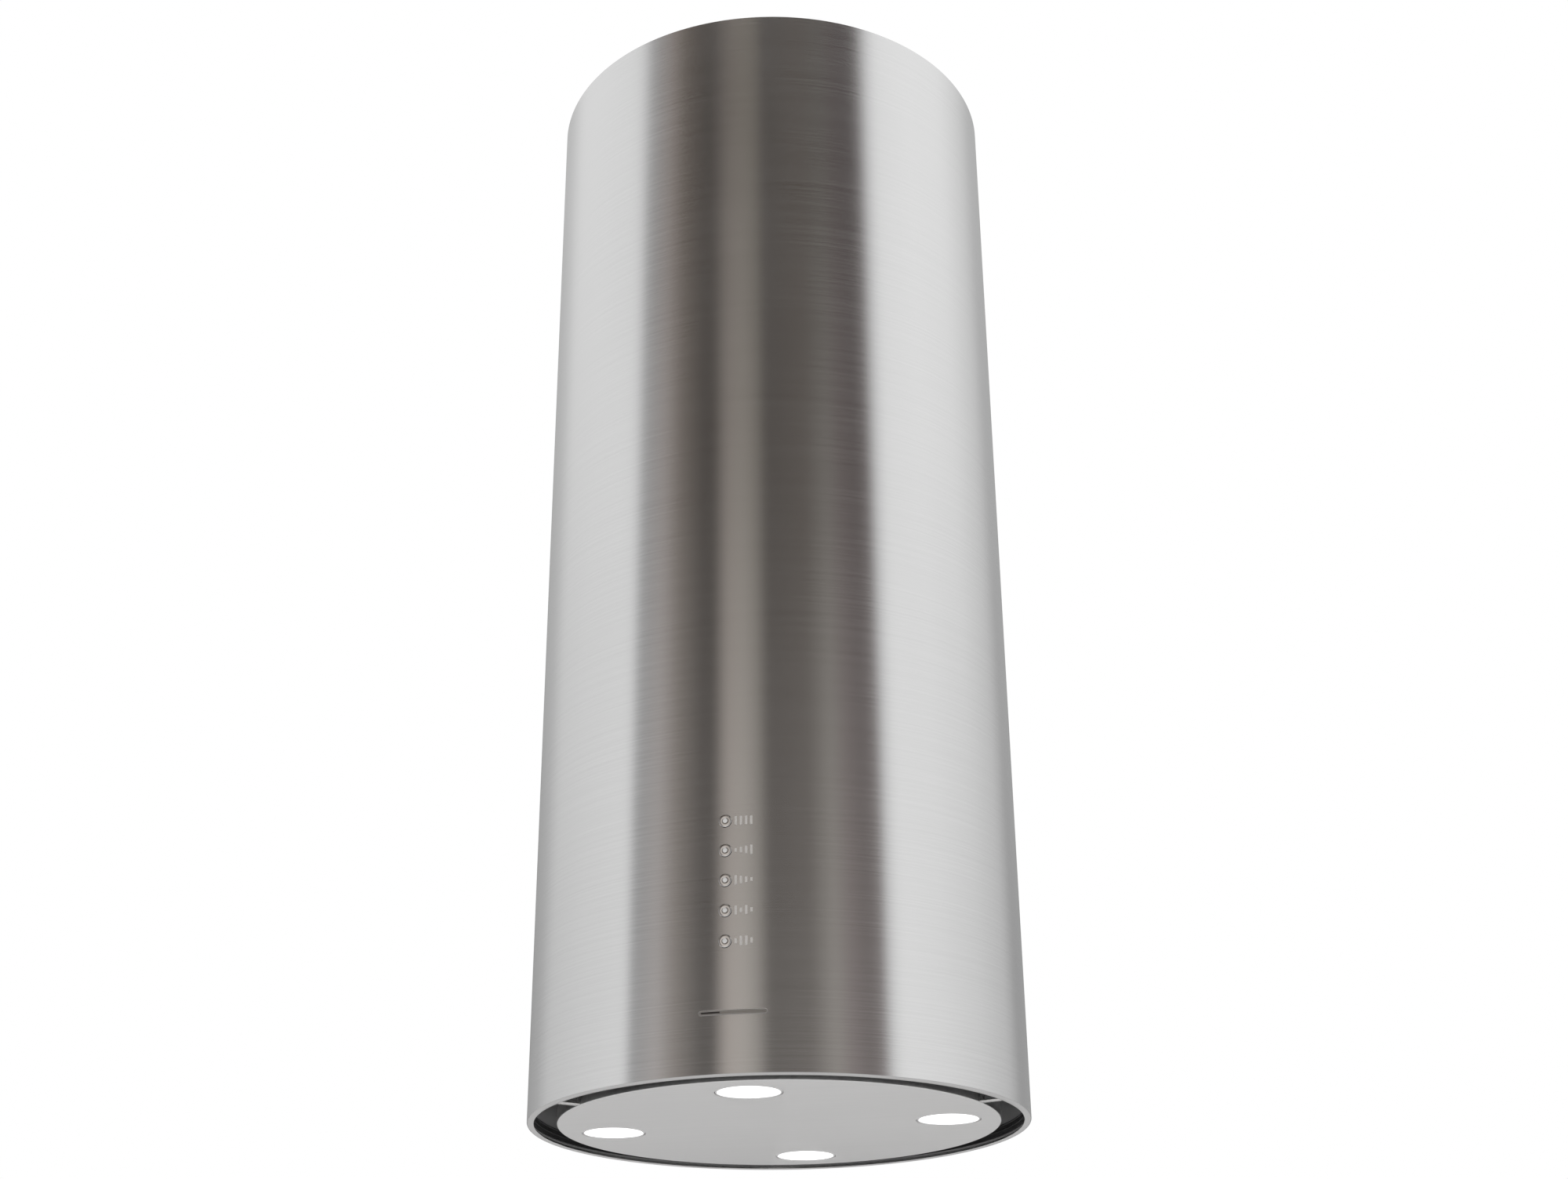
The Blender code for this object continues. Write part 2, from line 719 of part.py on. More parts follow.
def make_scroll():
    """Twin-inlet scroll with its neck pointing up."""
    neck_outer = NECK_HALF_DEPTH + SCROLL_WALL
    neck_top = CASING_TOP - SHEET - GAP
    tongue = SCROLL_HEIGHT + SCROLL_RADIUS
    outer = [(-neck_outer, neck_top), (-neck_outer, tongue + SCROLL_WALL)]
    outer += spiral(SCROLL_RADIUS + SCROLL_WALL)
    outer.append((neck_outer, neck_top))
    inner = [(-NECK_HALF_DEPTH, neck_top + 10 * MM), (-NECK_HALF_DEPTH, tongue)]
    inner += spiral(SCROLL_RADIUS)
    inner.append((NECK_HALF_DEPTH, neck_top + 10 * MM))
    scroll = upright_plate("scroll_housing", [outer], 0, 2 * SCROLL_HALF_WIDTH, GALVANISED)
    hollow_width = 2 * (SCROLL_HALF_WIDTH - SCROLL_WALL)
    cut(scroll, upright_plate("scroll_hollow", [inner], 0, hollow_width, None))
    centre = at(0, SCROLL_Y, SCROLL_HEIGHT)
    drill(scroll, INLET_RADIUS, centre, 3 * SCROLL_HALF_WIDTH, (1, 0, 0), MID_STEPS)


def make_impeller():
    """Twin-inlet wheel: a middle disc, two end rings and curved-forward blades."""
    centre = at(0, SCROLL_Y, SCROLL_HEIGHT)
    sideways = (1, 0, 0)
    hub = (SCROLL_Y, SCROLL_HEIGHT)
    disc = circle(WHEEL_RADIUS, hub)
    bore = circle(SHAFT_RADIUS + 0.3 * MM, hub, SMALL_STEPS)
    wheel = upright_plate("impeller", [disc, bore], 0, 2 * MM, GALVANISED)
    end_width = 3 * MM
    ring_outlines = [circle(WHEEL_RADIUS, hub), circle(WHEEL_INNER, hub)]
    for side in (-1, 1):
        x = side * (WHEEL_HALF_WIDTH - end_width / 2)
        join(wheel, upright_plate("wheel_ring", ring_outlines, x, end_width, None))
    blades = bmesh.new()
    middle = (WHEEL_RADIUS + WHEEL_INNER) / 2
    for i in range(WHEEL_BLADES):
        made = bmesh.ops.create_cube(blades, size=1)["verts"]
        chord = WHEEL_RADIUS - WHEEL_INNER - 1 * MM
        length = 2 * WHEEL_HALF_WIDTH - end_width
        bmesh.ops.scale(blades, vec=(length, 0.8 * MM, chord), verts=made)
        pitch = Matrix.Rotation(math.radians(30), 4, "X")
        spread = Matrix.Rotation(2 * math.pi * i / WHEEL_BLADES, 4, "X")
        place = spread @ Matrix.Translation((0, 0, middle)) @ pitch
        bmesh.ops.transform(blades, matrix=Matrix.Translation(centre) @ place, verts=made)
    join(wheel, object_from("wheel_blades", blades, None))
    shaft_end = MOTOR_RADIUS
    shaft_centre = at(shaft_end / 2 - 8 * MM, SCROLL_Y, SCROLL_HEIGHT)
    shaft_length = shaft_end + 16 * MM
    rod("motor_shaft", SHAFT_RADIUS, shaft_centre, shaft_length, sideways, CHROME)


def make_motor():
    """Motor in the wheel's hollow, and the three-armed plate that holds it at the inlet."""
    start = 5 * MM
    end = SCROLL_HALF_WIDTH + 14 * MM
    centre = at((start + end) / 2, SCROLL_Y, SCROLL_HEIGHT)
    motor = rod("motor", MOTOR_RADIUS, centre, end - start, (1, 0, 0), GREY_STEEL, MID_STEPS)
    drill(motor, SHAFT_RADIUS + 0.5 * MM, at(0, SCROLL_Y, SCROLL_HEIGHT), 130 * MM, (1, 0, 0))
    bevel_rim = motor.modifiers.new("rim", "BEVEL")
    bevel_rim.width = 2 * MM
    bevel_rim.segments = 2
    motor.modifiers.move(len(motor.modifiers) - 1, 0)

    hub = (SCROLL_Y, SCROLL_HEIGHT)
    outlines = [circle(INLET_RADIUS + 12 * MM, hub), circle(MOTOR_RADIUS + GAP, hub)]
    for arm in range(3):
        first = 120 * arm + 12
        turns = [math.radians(first + 96 * i / 8) for i in range(9)]
        window = [(INLET_RADIUS * math.cos(t), INLET_RADIUS * math.sin(t)) for t in turns]
        inner = MOTOR_RADIUS + 7 * MM
        window += [(inner * math.cos(t), inner * math.sin(t)) for t in reversed(turns)]
        outlines.append([(SCROLL_Y + y, SCROLL_HEIGHT + z) for y, z in window])
    x = SCROLL_HALF_WIDTH + GAP + 1 * MM
    upright_plate("motor_bracket", outlines, x, 2 * MM, GALVANISED)


def make_motor_lead():
    """Lead from the motor's end up through the casing to the control box."""
    start = SCROLL_HALF_WIDTH + 14 * MM + LEAD_GAP
    hole = MOTOR_LEAD_HOLE
    route = [
        at(start, SCROLL_Y, SCROLL_HEIGHT + 20 * MM),
        at(start + 7 * MM, SCROLL_Y, SCROLL_HEIGHT + 20 * MM),
        at(94 * MM, -75 * MM, SCROLL_HEIGHT + 60 * MM),
        Vector((hole.x, hole.y, up(330 * MM))),
        Vector((hole.x, hole.y, up(372 * MM))),
        at(72 * MM, -124 * MM, 386 * MM),
        at(BOX_HIGH[0] + LEAD_GAP, -124 * MM, 388 * MM),
    ]
    cable("motor_lead", route, CABLE_RADIUS, CABLE_GREY, bends=3)


# ------------------------------------------------------------------ outlet collar and dampers


def make_outlet_collar():
    """Flanged duct collar on the casing, with a ledge inside that the closed flaps lie above."""
    flange_base = CASING_TOP + GAP
    flange_top = flange_base + SHEET
    profile = [
        (COLLAR_RADIUS, COLLAR_TOP),
        (COLLAR_RADIUS, flange_top),
        (COLLAR_FLANGE, flange_top),
        (COLLAR_FLANGE, flange_base),
        (COLLAR_LEDGE, flange_base),
        (COLLAR_LEDGE, flange_top),
        (COLLAR_BORE, flange_top),
        (COLLAR_BORE, COLLAR_TOP),
    ]
    collar = turned("outlet_collar", profile, GALVANISED)
    axis = at(0, 0, DAMPER_HEIGHT)
    drill(collar, PIN_RADIUS + 0.2 * MM, axis, 3 * COLLAR_RADIUS, (1, 0, 0), TINY_STEPS)
    pin_length = 2 * COLLAR_RADIUS + 3 * MM
    rod("damper_pin", PIN_RADIUS, axis, pin_length, (1, 0, 0), CHROME, TINY_STEPS)


def make_damper(name, side, knuckles):
    """One half-round flap on the damper pin, with a knuckle at each x in knuckles."""
    radius = COLLAR_BORE - 0.6 * MM
    near = 3.2 * MM
    half_knuckle = 5 * MM
    start = math.asin(near / radius)
    turns = [start + (math.pi - 2 * start) * i / 24 for i in range(25)]
    outline = [(radius * math.cos(t), side * radius * math.sin(t)) for t in turns]
    for x in knuckles:
        for corner, reach in ((-1, near), (-1, 1.9 * MM), (1, 1.9 * MM), (1, near)):
            outline.append((x + corner * half_knuckle, side * reach))
    flap = flat_outline(name, [outline], 1 * MM, GALVANISED)
    flap.location.z = up(DAMPER_HEIGHT - 0.9 * MM)
    for x in knuckles:
        centre = at(x, 0, DAMPER_HEIGHT)
        length = 2 * half_knuckle - 0.4 * MM
        join(flap, rod(name + "_knuckle", KNUCKLE_RADIUS, centre, length, (1, 0, 0), None, 16))
    drill(flap, PIN_RADIUS + 0.25 * MM, at(0, 0, DAMPER_HEIGHT), 160 * MM, (1, 0, 0), TINY_STEPS)
    for step in flap.modifiers:
        step.solver = "MANIFOLD"


# ------------------------------------------------------------------ hanging frame


def angle_outline(corner_x, corner_y, leg):
    """The section of a steel angle whose corner is at a point and whose legs run inwards."""
    in_x = math.copysign(1, -corner_x)
    in_y = math.copysign(1, -corner_y)
    steps = [
        (0, 0), (leg, 0), (leg, ANGLE_SHEET), (ANGLE_SHEET, ANGLE_SHEET), (ANGLE_SHEET, leg), (0, leg)
    ]
    return [(corner_x + in_x * x, corner_y + in_y * y) for x, y in steps]


def make_angle(name, corner, side, low, high, foot):
    """One steel angle between two heights, with a square foot at one end."""
    foot_sheet = 2 * MM
    weld = foot_sheet / 2
    base = low + weld if foot == "low" else low
    top = high if foot == "low" else high - weld
    x, y = corner * side[0], corner * side[1]
    angle = flat_outline(name, [angle_outline(x, y, ANGLE_LEG)], top - base, GALVANISED)
    angle.location.z = up((base + top) / 2)
    inner = corner - ANGLE_LEG - 3 * MM
    outer = corner + 11 * MM
    foot_low = low if foot == "low" else high - foot_sheet
    lo = (min(inner * side[0], outer * side[0]), min(inner * side[1], outer * side[1]))
    hi = (max(inner * side[0], outer * side[0]), max(inner * side[1], outer * side[1]))
    join(angle, box("foot", (*lo, up(foot_low)), (*hi, up(foot_low + foot_sheet)), None))


def make_frame():
    """Ceiling plate and the two nested sets of angles that set the hood's drop."""
    sides = {"front_right": (1, -1), "rear_right": (1, 1), "rear_left": (-1, 1), "front_left": (-1, -1)}
    plate_base = HOOD_HEIGHT - CEILING_SHEET
    for name, side in sides.items():
        make_angle("lower_angle_" + name, FRAME_HALF, side, CASING_TOP + GAP, LOWER_ANGLE_TOP, "low")
        nested = FRAME_HALF - ANGLE_SHEET - GAP
        make_angle("upper_angle_" + name, nested, side, UPPER_ANGLE_BASE, plate_base - GAP, "high")
    slots = []
    for i in range(4):
        x, y = circle(ANCHOR_RADIUS, steps=4)[i]
        half_x = 10 * MM if i % 2 else 4 * MM
        half_y = 4 * MM if i % 2 else 10 * MM
        corners = ((-1, -1), (1, -1), (1, 1), (-1, 1))
        slots.append([(x + sx * half_x, y + sy * half_y) for sx, sy in corners])
    outlines = [circle(CEILING_RADIUS, steps=ROUND_STEPS), circle(DUCT_HOLE_RADIUS), *slots]
    plate = flat_outline("ceiling_plate", outlines, CEILING_SHEET, GALVANISED)
    plate.location.z = -CEILING_SHEET / 2


# ------------------------------------------------------------------ controls


def make_buttons():
    """Five push buttons, each with a flange behind the tube and a stem that works its switch."""
    face = -TUBE_RADIUS - 0.8 * MM
    flange_front = -TUBE_RADIUS + 1.9 * MM
    flange_back = flange_front + 1.2 * MM
    stem_end = flange_back + 4.6 * MM
    for i, name in enumerate(BUTTONS):
        height = BUTTON_TOP_HEIGHT - i * BUTTON_PITCH
        parts = (
            (BUTTON_RADIUS, face, flange_front + 0.5 * MM),
            (BUTTON_RADIUS + 1.5 * MM, flange_front, flange_back),
            (BUTTON_RADIUS / 2, flange_back - 0.5 * MM, stem_end),
        )
        made = None
        for radius, front, back in parts:
            centre = at(BUTTON_X, (front + back) / 2, height)
            piece = rod("button_" + name, radius, centre, back - front, (0, 1, 0), CHROME)
            made = piece if made is None else join(made, piece)


def make_controls():
    """Carrier that guides the button stems, and the switch board behind it."""
    carrier_front = -TUBE_RADIUS + 5 * MM
    carrier_back = carrier_front + 1.6 * MM
    board_front = -TUBE_RADIUS + 9.5 * MM
    board_back = board_front + 1.6 * MM
    half_width = 11 * MM
    low = BUTTON_TOP_HEIGHT - 4 * BUTTON_PITCH - 12 * MM
    high = BUTTON_TOP_HEIGHT + 12 * MM
    left, right = BUTTON_X - half_width, BUTTON_X + half_width
    carrier = box(
        "button_carrier", at(left, carrier_front, low), at(right, carrier_back, high), BLACK_PLASTIC
    )
    rib = 2 * MM
    for base in (low - 0.5 * MM, high - 1.5 * MM):
        lo = at(left, -TUBE_RADIUS + 2 * MM, base)
        hi = at(right, board_back, base + rib)
        join(carrier, box("carrier_rib", lo, hi, None))
    for i in range(len(BUTTONS)):
        centre = at(BUTTON_X, carrier_front, BUTTON_TOP_HEIGHT - i * BUTTON_PITCH)
        drill(carrier, BUTTON_RADIUS / 2 + 0.3 * MM, centre, 12 * MM, (0, 1, 0), TINY_STEPS)
    lo = at(left, board_front, low + rib)
    hi = at(right, board_back, high - rib)
    box("switch_board", lo, hi, BOARD_GREEN)

    back = board_back + LEAD_GAP
    route = [
        at(BUTTON_X, back, high - 10 * MM),
        at(BUTTON_X, back + 1 * MM, high - 10 * MM),
        at(BUTTON_X, back + 4 * MM, high - 4 * MM),
        at(BUTTON_X, back + 4.5 * MM, high + 40 * MM),
        at(BUTTON_X, back + 4.5 * MM, 340 * MM),
        at(BUTTON_X, BOX_LOW[1] - 12 * MM, 376 * MM),
        at(BUTTON_X, BOX_LOW[1] - LEAD_GAP, 380 * MM),
    ]
    cable("switch_lead", route, CABLE_RADIUS, CABLE_GREY, bends=3)


def make_control_box():
    """Control box on the casing, open above, with its lid and mains gland, and the capacitor."""
    lo, hi = at(*BOX_LOW), at(*BOX_HIGH)
    wall = Vector((SHEET, SHEET, SHEET))
    tub = box("control_box", lo, hi, GALVANISED)
    cut(tub, box("control_hollow", lo + wall, hi + Vector((-SHEET, -SHEET, SHEET)), None))
    lid_base = hi.z + GAP
    box("control_box_lid", (lo.x, lo.y, lid_base), (hi.x, hi.y, lid_base + SHEET), GALVANISED)
    gland_centre = at(hi.x, -124 * MM, 416 * MM)
    drill(tub, 8 * MM, gland_centre, 10 * MM, (1, 0, 0))
    gland = rod("mains_gland", 7.7 * MM, gland_centre, 16 * MM, (1, 0, 0), BLACK_PLASTIC)
    collar = rod(
        "gland_collar", 11 * MM, gland_centre + Vector((4.3 * MM + GAP, 0, 0)), 8 * MM,
        (1, 0, 0), None, 6,
    )
    join(gland, collar)
    drill(gland, 4 * MM, gland_centre, 60 * MM, (1, 0, 0))
    capacitor_centre = at(128 * MM, 0, CASING_TOP + GAP + 26 * MM)
    rod("capacitor", 15 * MM, capacitor_centre, 52 * MM, (0, 0, 1), BLACK_PLASTIC)


# ------------------------------------------------------------------ assembly


def pivot(name, location, children):
    """An empty on a joint's axis, with the pieces that move about it."""
    made = bpy.data.objects.new(name, None)
    made.location = location
    HOOD.objects.link(made)
    bpy.context.view_layer.update()
    for child in children:
        child.parent = made
        child.matrix_parent_inverse = made.matrix_world.inverted()


def named(*names):
    return [bpy.data.objects[name] for name in names]


def smooth_round_pieces():
    """Turns each mesh's modifiers into its mesh, shaded smooth except at its corners."""
    bpy.context.view_layer.update()
    graph = bpy.context.evaluated_depsgraph_get()
    meshes = [obj for obj in HOOD.objects if obj.type == "MESH"]
    made = {obj: bpy.data.meshes.new_from_object(obj.evaluated_get(graph)) for obj in meshes}
    for obj, mesh in made.items():
        obj.modifiers.clear()
        obj.data = mesh
        mesh.shade_smooth()
        mesh.set_sharp_from_angle(angle=math.radians(30))


make_outer_tube()
make_badge()
make_base_ring()
make_filter_hooks()
make_filter()
make_filter_handle()
make_filter_latch()
make_spring_clips()
swinging = [make_panel(), make_hinge(), make_lamp_harness(), *make_panel_tabs()]
for lamp, lamp_bearing in LAMPS.items():
    swinging += make_lamp(lamp, lamp_bearing)
make_lamp_lead()
make_casing()
make_scroll()
make_impeller()
make_motor()
make_motor_lead()
make_outlet_collar()
make_damper("damper_front", -1, (-30 * MM, 30 * MM))
make_damper("damper_rear", 1, (-12 * MM, 12 * MM))
make_frame()
make_buttons()
make_controls()
make_control_box()

pivot("panel_hinge", around(HINGE_BEARING, HINGE_RADIUS, HINGE_HEIGHT), swinging)
pivot("handle_hinge", around(FILTER_BEARING, HANDLE_RADIUS, HANDLE_HEIGHT), named("filter_handle"))
pivot("wheel_axis", at(0, SCROLL_Y, SCROLL_HEIGHT), named("impeller", "motor_shaft"))
pivot("damper_axis", at(0, 0, DAMPER_HEIGHT), named("damper_front", "damper_rear"))
smooth_round_pieces()
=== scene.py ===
"""Looks for the cylindrical island range hood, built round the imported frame.

The hood hangs from the ceiling plane at z = 0 with its front towards -Y. Heights are measured up from
the rim of the tube, and a bearing is an angle round the axis from the front towards +X, as in the CAD.
"""

import json
import math
import bmesh
import bpy
from mathutils import Matrix, Vector

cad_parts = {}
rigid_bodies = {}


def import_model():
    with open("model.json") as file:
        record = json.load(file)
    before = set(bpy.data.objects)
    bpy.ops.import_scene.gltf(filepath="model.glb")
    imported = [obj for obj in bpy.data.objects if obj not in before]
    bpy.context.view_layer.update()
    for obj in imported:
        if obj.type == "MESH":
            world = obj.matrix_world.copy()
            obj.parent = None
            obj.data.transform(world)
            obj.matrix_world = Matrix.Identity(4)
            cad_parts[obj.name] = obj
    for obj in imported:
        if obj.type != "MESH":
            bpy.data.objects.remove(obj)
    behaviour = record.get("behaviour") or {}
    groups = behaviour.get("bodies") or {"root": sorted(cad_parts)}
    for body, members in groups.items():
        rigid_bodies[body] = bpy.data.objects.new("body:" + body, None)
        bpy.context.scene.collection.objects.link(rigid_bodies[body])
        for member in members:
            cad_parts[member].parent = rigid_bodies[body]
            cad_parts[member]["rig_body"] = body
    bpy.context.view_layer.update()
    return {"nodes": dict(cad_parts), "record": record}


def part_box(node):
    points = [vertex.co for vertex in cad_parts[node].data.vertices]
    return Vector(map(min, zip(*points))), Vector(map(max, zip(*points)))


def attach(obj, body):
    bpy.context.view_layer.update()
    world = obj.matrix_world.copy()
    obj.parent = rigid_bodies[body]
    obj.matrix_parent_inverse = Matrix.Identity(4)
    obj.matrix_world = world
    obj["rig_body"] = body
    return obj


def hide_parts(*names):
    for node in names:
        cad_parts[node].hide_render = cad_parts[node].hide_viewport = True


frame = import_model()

MM = 0.001
FIXED = "hood"
SWINGING = "lamp_panel"
FINE = 240  # steps round the tube, the panel and the base ring
ROUND = 96  # steps round a lamp or the filter's core
SMALL = 32  # steps round a button, a screw or a bush

TUBE_LOW, TUBE_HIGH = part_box("outer_tube")
RIM_Z = TUBE_LOW.z
TUBE_RADIUS = TUBE_HIGH.x
TUBE_WALL = 1 * MM
LIP_WIDTH = 5.3 * MM
RIM_BEND = 1.3 * MM
PRESSED_SHEET = 1.2 * MM
CABLE_RADIUS = 1.6 * MM
WIRE_RADIUS = 1.5 * MM
CAN_MARGIN = 1.8 * MM

BUTTONS = ("power", "speed_up", "speed_down", "timer", "light")
BUTTON_FLANGE = 1.5 * MM
LAMPS = ("front", "right", "rear", "left")
CORNERS = ("front_right", "rear_right", "rear_left", "front_left")
ABOVE = Vector((0, 0, 1))


def up(height):
    """World z of a height above the rim."""
    return RIM_Z + height


def around(bearing, radius, height):
    """World point at a bearing and radius round the hood's axis and a height above the rim."""
    turn = math.radians(bearing)
    return Vector((radius * math.sin(turn), -radius * math.cos(turn), up(height)))


def box_centre(node):
    """Middle of a CAD node's box."""
    low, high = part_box(node)
    return (low + high) / 2


# ------------------------------------------------------------------ camera, floor and studio


def make_camera():
    """Camera under the hood's rim, looking up at it, a little to the right of the front."""
    bearing = math.radians(9.5)
    distance = 1.6236
    below_rim = 0.3041
    pitch, yaw, roll = math.radians(24.864), math.radians(0.271), math.radians(-0.580)
    ahead = Vector((math.sin(yaw) * math.cos(pitch), math.cos(yaw) * math.cos(pitch), math.sin(pitch)))
    level = Vector((math.cos(yaw), -math.sin(yaw), 0))
    above = level.cross(ahead)
    right = level * math.cos(roll) + above * math.sin(roll)
    top = above * math.cos(roll) - level * math.sin(roll)
    pose = Matrix((right, top, -ahead)).transposed().to_4x4()
    pose.translation = (0, -distance, up(-below_rim))
    data = bpy.data.cameras.new("camera")
    data.lens = 48.573
    data.sensor_width = 36
    data.clip_end = 100
    camera = bpy.data.objects.new("camera", data)
    camera.matrix_world = Matrix.Rotation(bearing, 4, "Z") @ pose
    bpy.context.scene.collection.objects.link(camera)
    bpy.context.scene.camera = camera


def add_nodes(tree, **kinds):
    """New nodes in a tree, named and returned in the order given."""
    made = []
    for name, kind in kinds.items():
        node = tree.nodes.new(kind)
        node.name = name
        made.append(node)
    return made


def maths(tree, operation, first, second=None, third=None, clamp=False):
    """A Math node on sockets or numbers, and its output."""
    node = tree.nodes.new("ShaderNodeMath")
    node.operation = operation
    node.use_clamp = clamp
    for socket, value in zip(node.inputs, (first, second, third)):
        if value is None:
            continue
        if isinstance(value, (int, float)):
            socket.default_value = value
        else:
            tree.links.new(value, socket)
    return node.outputs[0]


# Brightness of the studio round the hood, as rows of bearing, level near the floor, level high up, and
# tint. Bright walls stand on both sides, an unlit wall with two faint lamps in front, and a dimmer wall
# behind. The tints are at full strength high up and faint near the floor.
NEUTRAL = Vector((1.0, 1.0, 1.0))
WARM = Vector((1.20, 1.0, 0.90))
BROWN = Vector((1.34, 1.0, 0.74))
OLIVE = Vector((1.24, 1.0, 0.74))
ROSE = Vector((1.55, 1.0, 0.88))
LOW_TINT = 0.3
STUDIO = (
    (-180, 0.36, 0.54, NEUTRAL),
    (-155, 0.37, 0.60, NEUTRAL),
    (-133, 0.54, 0.76, NEUTRAL),
    (-118, 0.80, 1.10, NEUTRAL),
    (-95, 0.92, 1.14, NEUTRAL),
    (-64, 1.06, 1.08, NEUTRAL),
    (-59, 0.43, 0.38, NEUTRAL),
    (-47, 0.58, 0.26, WARM),
    (-38, 0.36, 0.08, BROWN),
    (-26, 0.15, 0.03, BROWN),
    (-20, 0.12, 0.04, BROWN),
    (-13, 0.62, 0.07, BROWN),
    (-6, 0.64, 0.10, OLIVE),
    (0, 0.48, 0.09, OLIVE),
    (6, 0.17, 0.03, BROWN),
    (24, 0.21, 0.05, BROWN),
    (35, 0.44, 0.04, OLIVE),
    (43, 0.29, 0.03, ROSE),
    (50, 0.20, 0.02, ROSE),
    (57, 0.22, 0.04, ROSE),
    (62, 0.98, 0.78, NEUTRAL),
    (67, 1.18, 1.14, NEUTRAL),
    (90, 1.08, 1.26, NEUTRAL),
    (115, 0.92, 1.24, NEUTRAL),
    (137, 0.74, 0.94, NEUTRAL),
    (151, 0.45, 0.64, NEUTRAL),
    (180, 0.36, 0.54, NEUTRAL),
)


def studio_ramp(tree, turn, level_index, tint_strength):
    """Colour ramp over the bearing for one height in the studio."""
    ramp = tree.nodes.new("ShaderNodeValToRGB")
    tree.links.new(turn, ramp.inputs[0])
    elements = ramp.color_ramp.elements
    while len(elements) > 1:
        elements.remove(elements[-1])
    for i, stop in enumerate(STUDIO):
        place = (stop[0] + 180) / 360
        element = elements[0] if i == 0 else elements.new(place)
        element.position = place
        element.color = (*(NEUTRAL.lerp(stop[3], tint_strength) * stop[level_index]), 1)
    return ramp.outputs[0]


def make_studio():
    """World light that the steel reflects. The camera itself sees plain white."""
    world = bpy.data.worlds.new("studio")
    bpy.context.scene.world = world
    world.use_nodes = True
    tree = world.node_tree
    tree.nodes.clear()
    place, parts, seen, pick, walls = add_nodes(
        tree, place="ShaderNodeTexCoord", parts="ShaderNodeSeparateXYZ", seen="ShaderNodeLightPath",
        pick="ShaderNodeMix", walls="ShaderNodeMix",
    )
    light, output = add_nodes(tree, light="ShaderNodeBackground", output="ShaderNodeOutputWorld")
    tree.links.new(place.outputs["Generated"], parts.inputs[0])
    backwards = maths(tree, "MULTIPLY", parts.outputs["Y"], -1)
    bearing = maths(tree, "ARCTAN2", parts.outputs["X"], backwards)
    turn = maths(tree, "MULTIPLY_ADD", bearing, 1 / (2 * math.pi), 0.5)
    height = maths(tree, "ARCSINE", parts.outputs["Z"])
    lower_edge, upper_edge = math.radians(14), math.radians(36)
    rise = maths(tree, "SUBTRACT", height, lower_edge)
    blend = maths(tree, "DIVIDE", rise, upper_edge - lower_edge, clamp=True)
    for mix in (pick, walls):
        mix.data_type = "RGBA"
    tree.links.new(blend, walls.inputs[0])
    tree.links.new(studio_ramp(tree, turn, 1, LOW_TINT), walls.inputs[6])
    tree.links.new(studio_ramp(tree, turn, 2, 1), walls.inputs[7])
    tree.links.new(seen.outputs["Is Camera Ray"], pick.inputs[0])
    tree.links.new(walls.outputs[2], pick.inputs[6])
    pick.inputs[7].default_value = (1, 1, 1, 1)
    tree.links.new(pick.outputs[2], light.inputs["Color"])
    tree.links.new(light.outputs[0], output.inputs[0])
    bpy.context.scene.view_settings.view_transform = "Standard"


def make_floor():
    """Pale floor well under the hood, where a room's floor would be."""
    mesh = bpy.data.meshes.new("floor")
    half = 14
    room_height = 2.5
    z = -room_height
    corners = [(-half, -half, z), (half, -half, z), (half, half, z), (-half, half, z)]
    mesh.from_pydata(corners, [], [(0, 1, 2, 3)])
    floor = bpy.data.objects.new("floor", mesh)
    bpy.context.scene.collection.objects.link(floor)
    pale = bpy.data.materials.new("pale_floor")
    pale.use_nodes = True
    shader = pale.node_tree.nodes["Principled BSDF"]
    shader.inputs["Base Color"].default_value = (0.90, 0.90, 0.90, 1)
    shader.inputs["Roughness"].default_value = 0.8
    mesh.materials.append(pale)
    light_data = bpy.data.lights.new("floor_light", "AREA")
    light_data.shape = "DISK"
    light_data.size = 3
    light_data.energy = 60
    lamp = bpy.data.objects.new("floor_light", light_data)
    lamp.location = (0, 0, room_height)
    bpy.context.scene.collection.objects.link(lamp)


# ------------------------------------------------------------------ materials


def new_material(name):
    """A new Principled material, its tree and its shader."""
    made = bpy.data.materials.new(name)
    made.use_nodes = True
    return made, made.node_tree, made.node_tree.nodes["Principled BSDF"]


def set_values(shader, **values):
    """Sets sockets by name, with underscores for the spaces in their names."""
    for name, value in values.items():
        shader.inputs[name.replace("_", " ")].default_value = value


def scaled_place(tree, scale):
    """Object coordinates stretched by a scale along each axis."""
    place, stretch = add_nodes(tree, place="ShaderNodeTexCoord", stretch="ShaderNodeMapping")
    stretch.inputs["Scale"].default_value = scale
    tree.links.new(place.outputs["Object"], stretch.inputs[0])
    return stretch.outputs[0]


def noise(tree, scale, detail=2, size=1):
    """Noise over stretched object coordinates, as a socket between 0 and 1."""
    node = tree.nodes.new("ShaderNodeTexNoise")
    node.inputs["Scale"].default_value = size
    node.inputs["Detail"].default_value = detail
    tree.links.new(scaled_place(tree, scale), node.inputs["Vector"])
    return node.outputs["Fac"]


def spread(tree, value, low, high):
    """A 0 to 1 socket remapped to run from low to high."""
    node = tree.nodes.new("ShaderNodeMapRange")
    node.inputs["From Min"].default_value = 0.25
    node.inputs["From Max"].default_value = 0.75
    node.inputs["To Min"].default_value = low
    node.inputs["To Max"].default_value = high
    tree.links.new(value, node.inputs["Value"])
    return node.outputs["Result"]


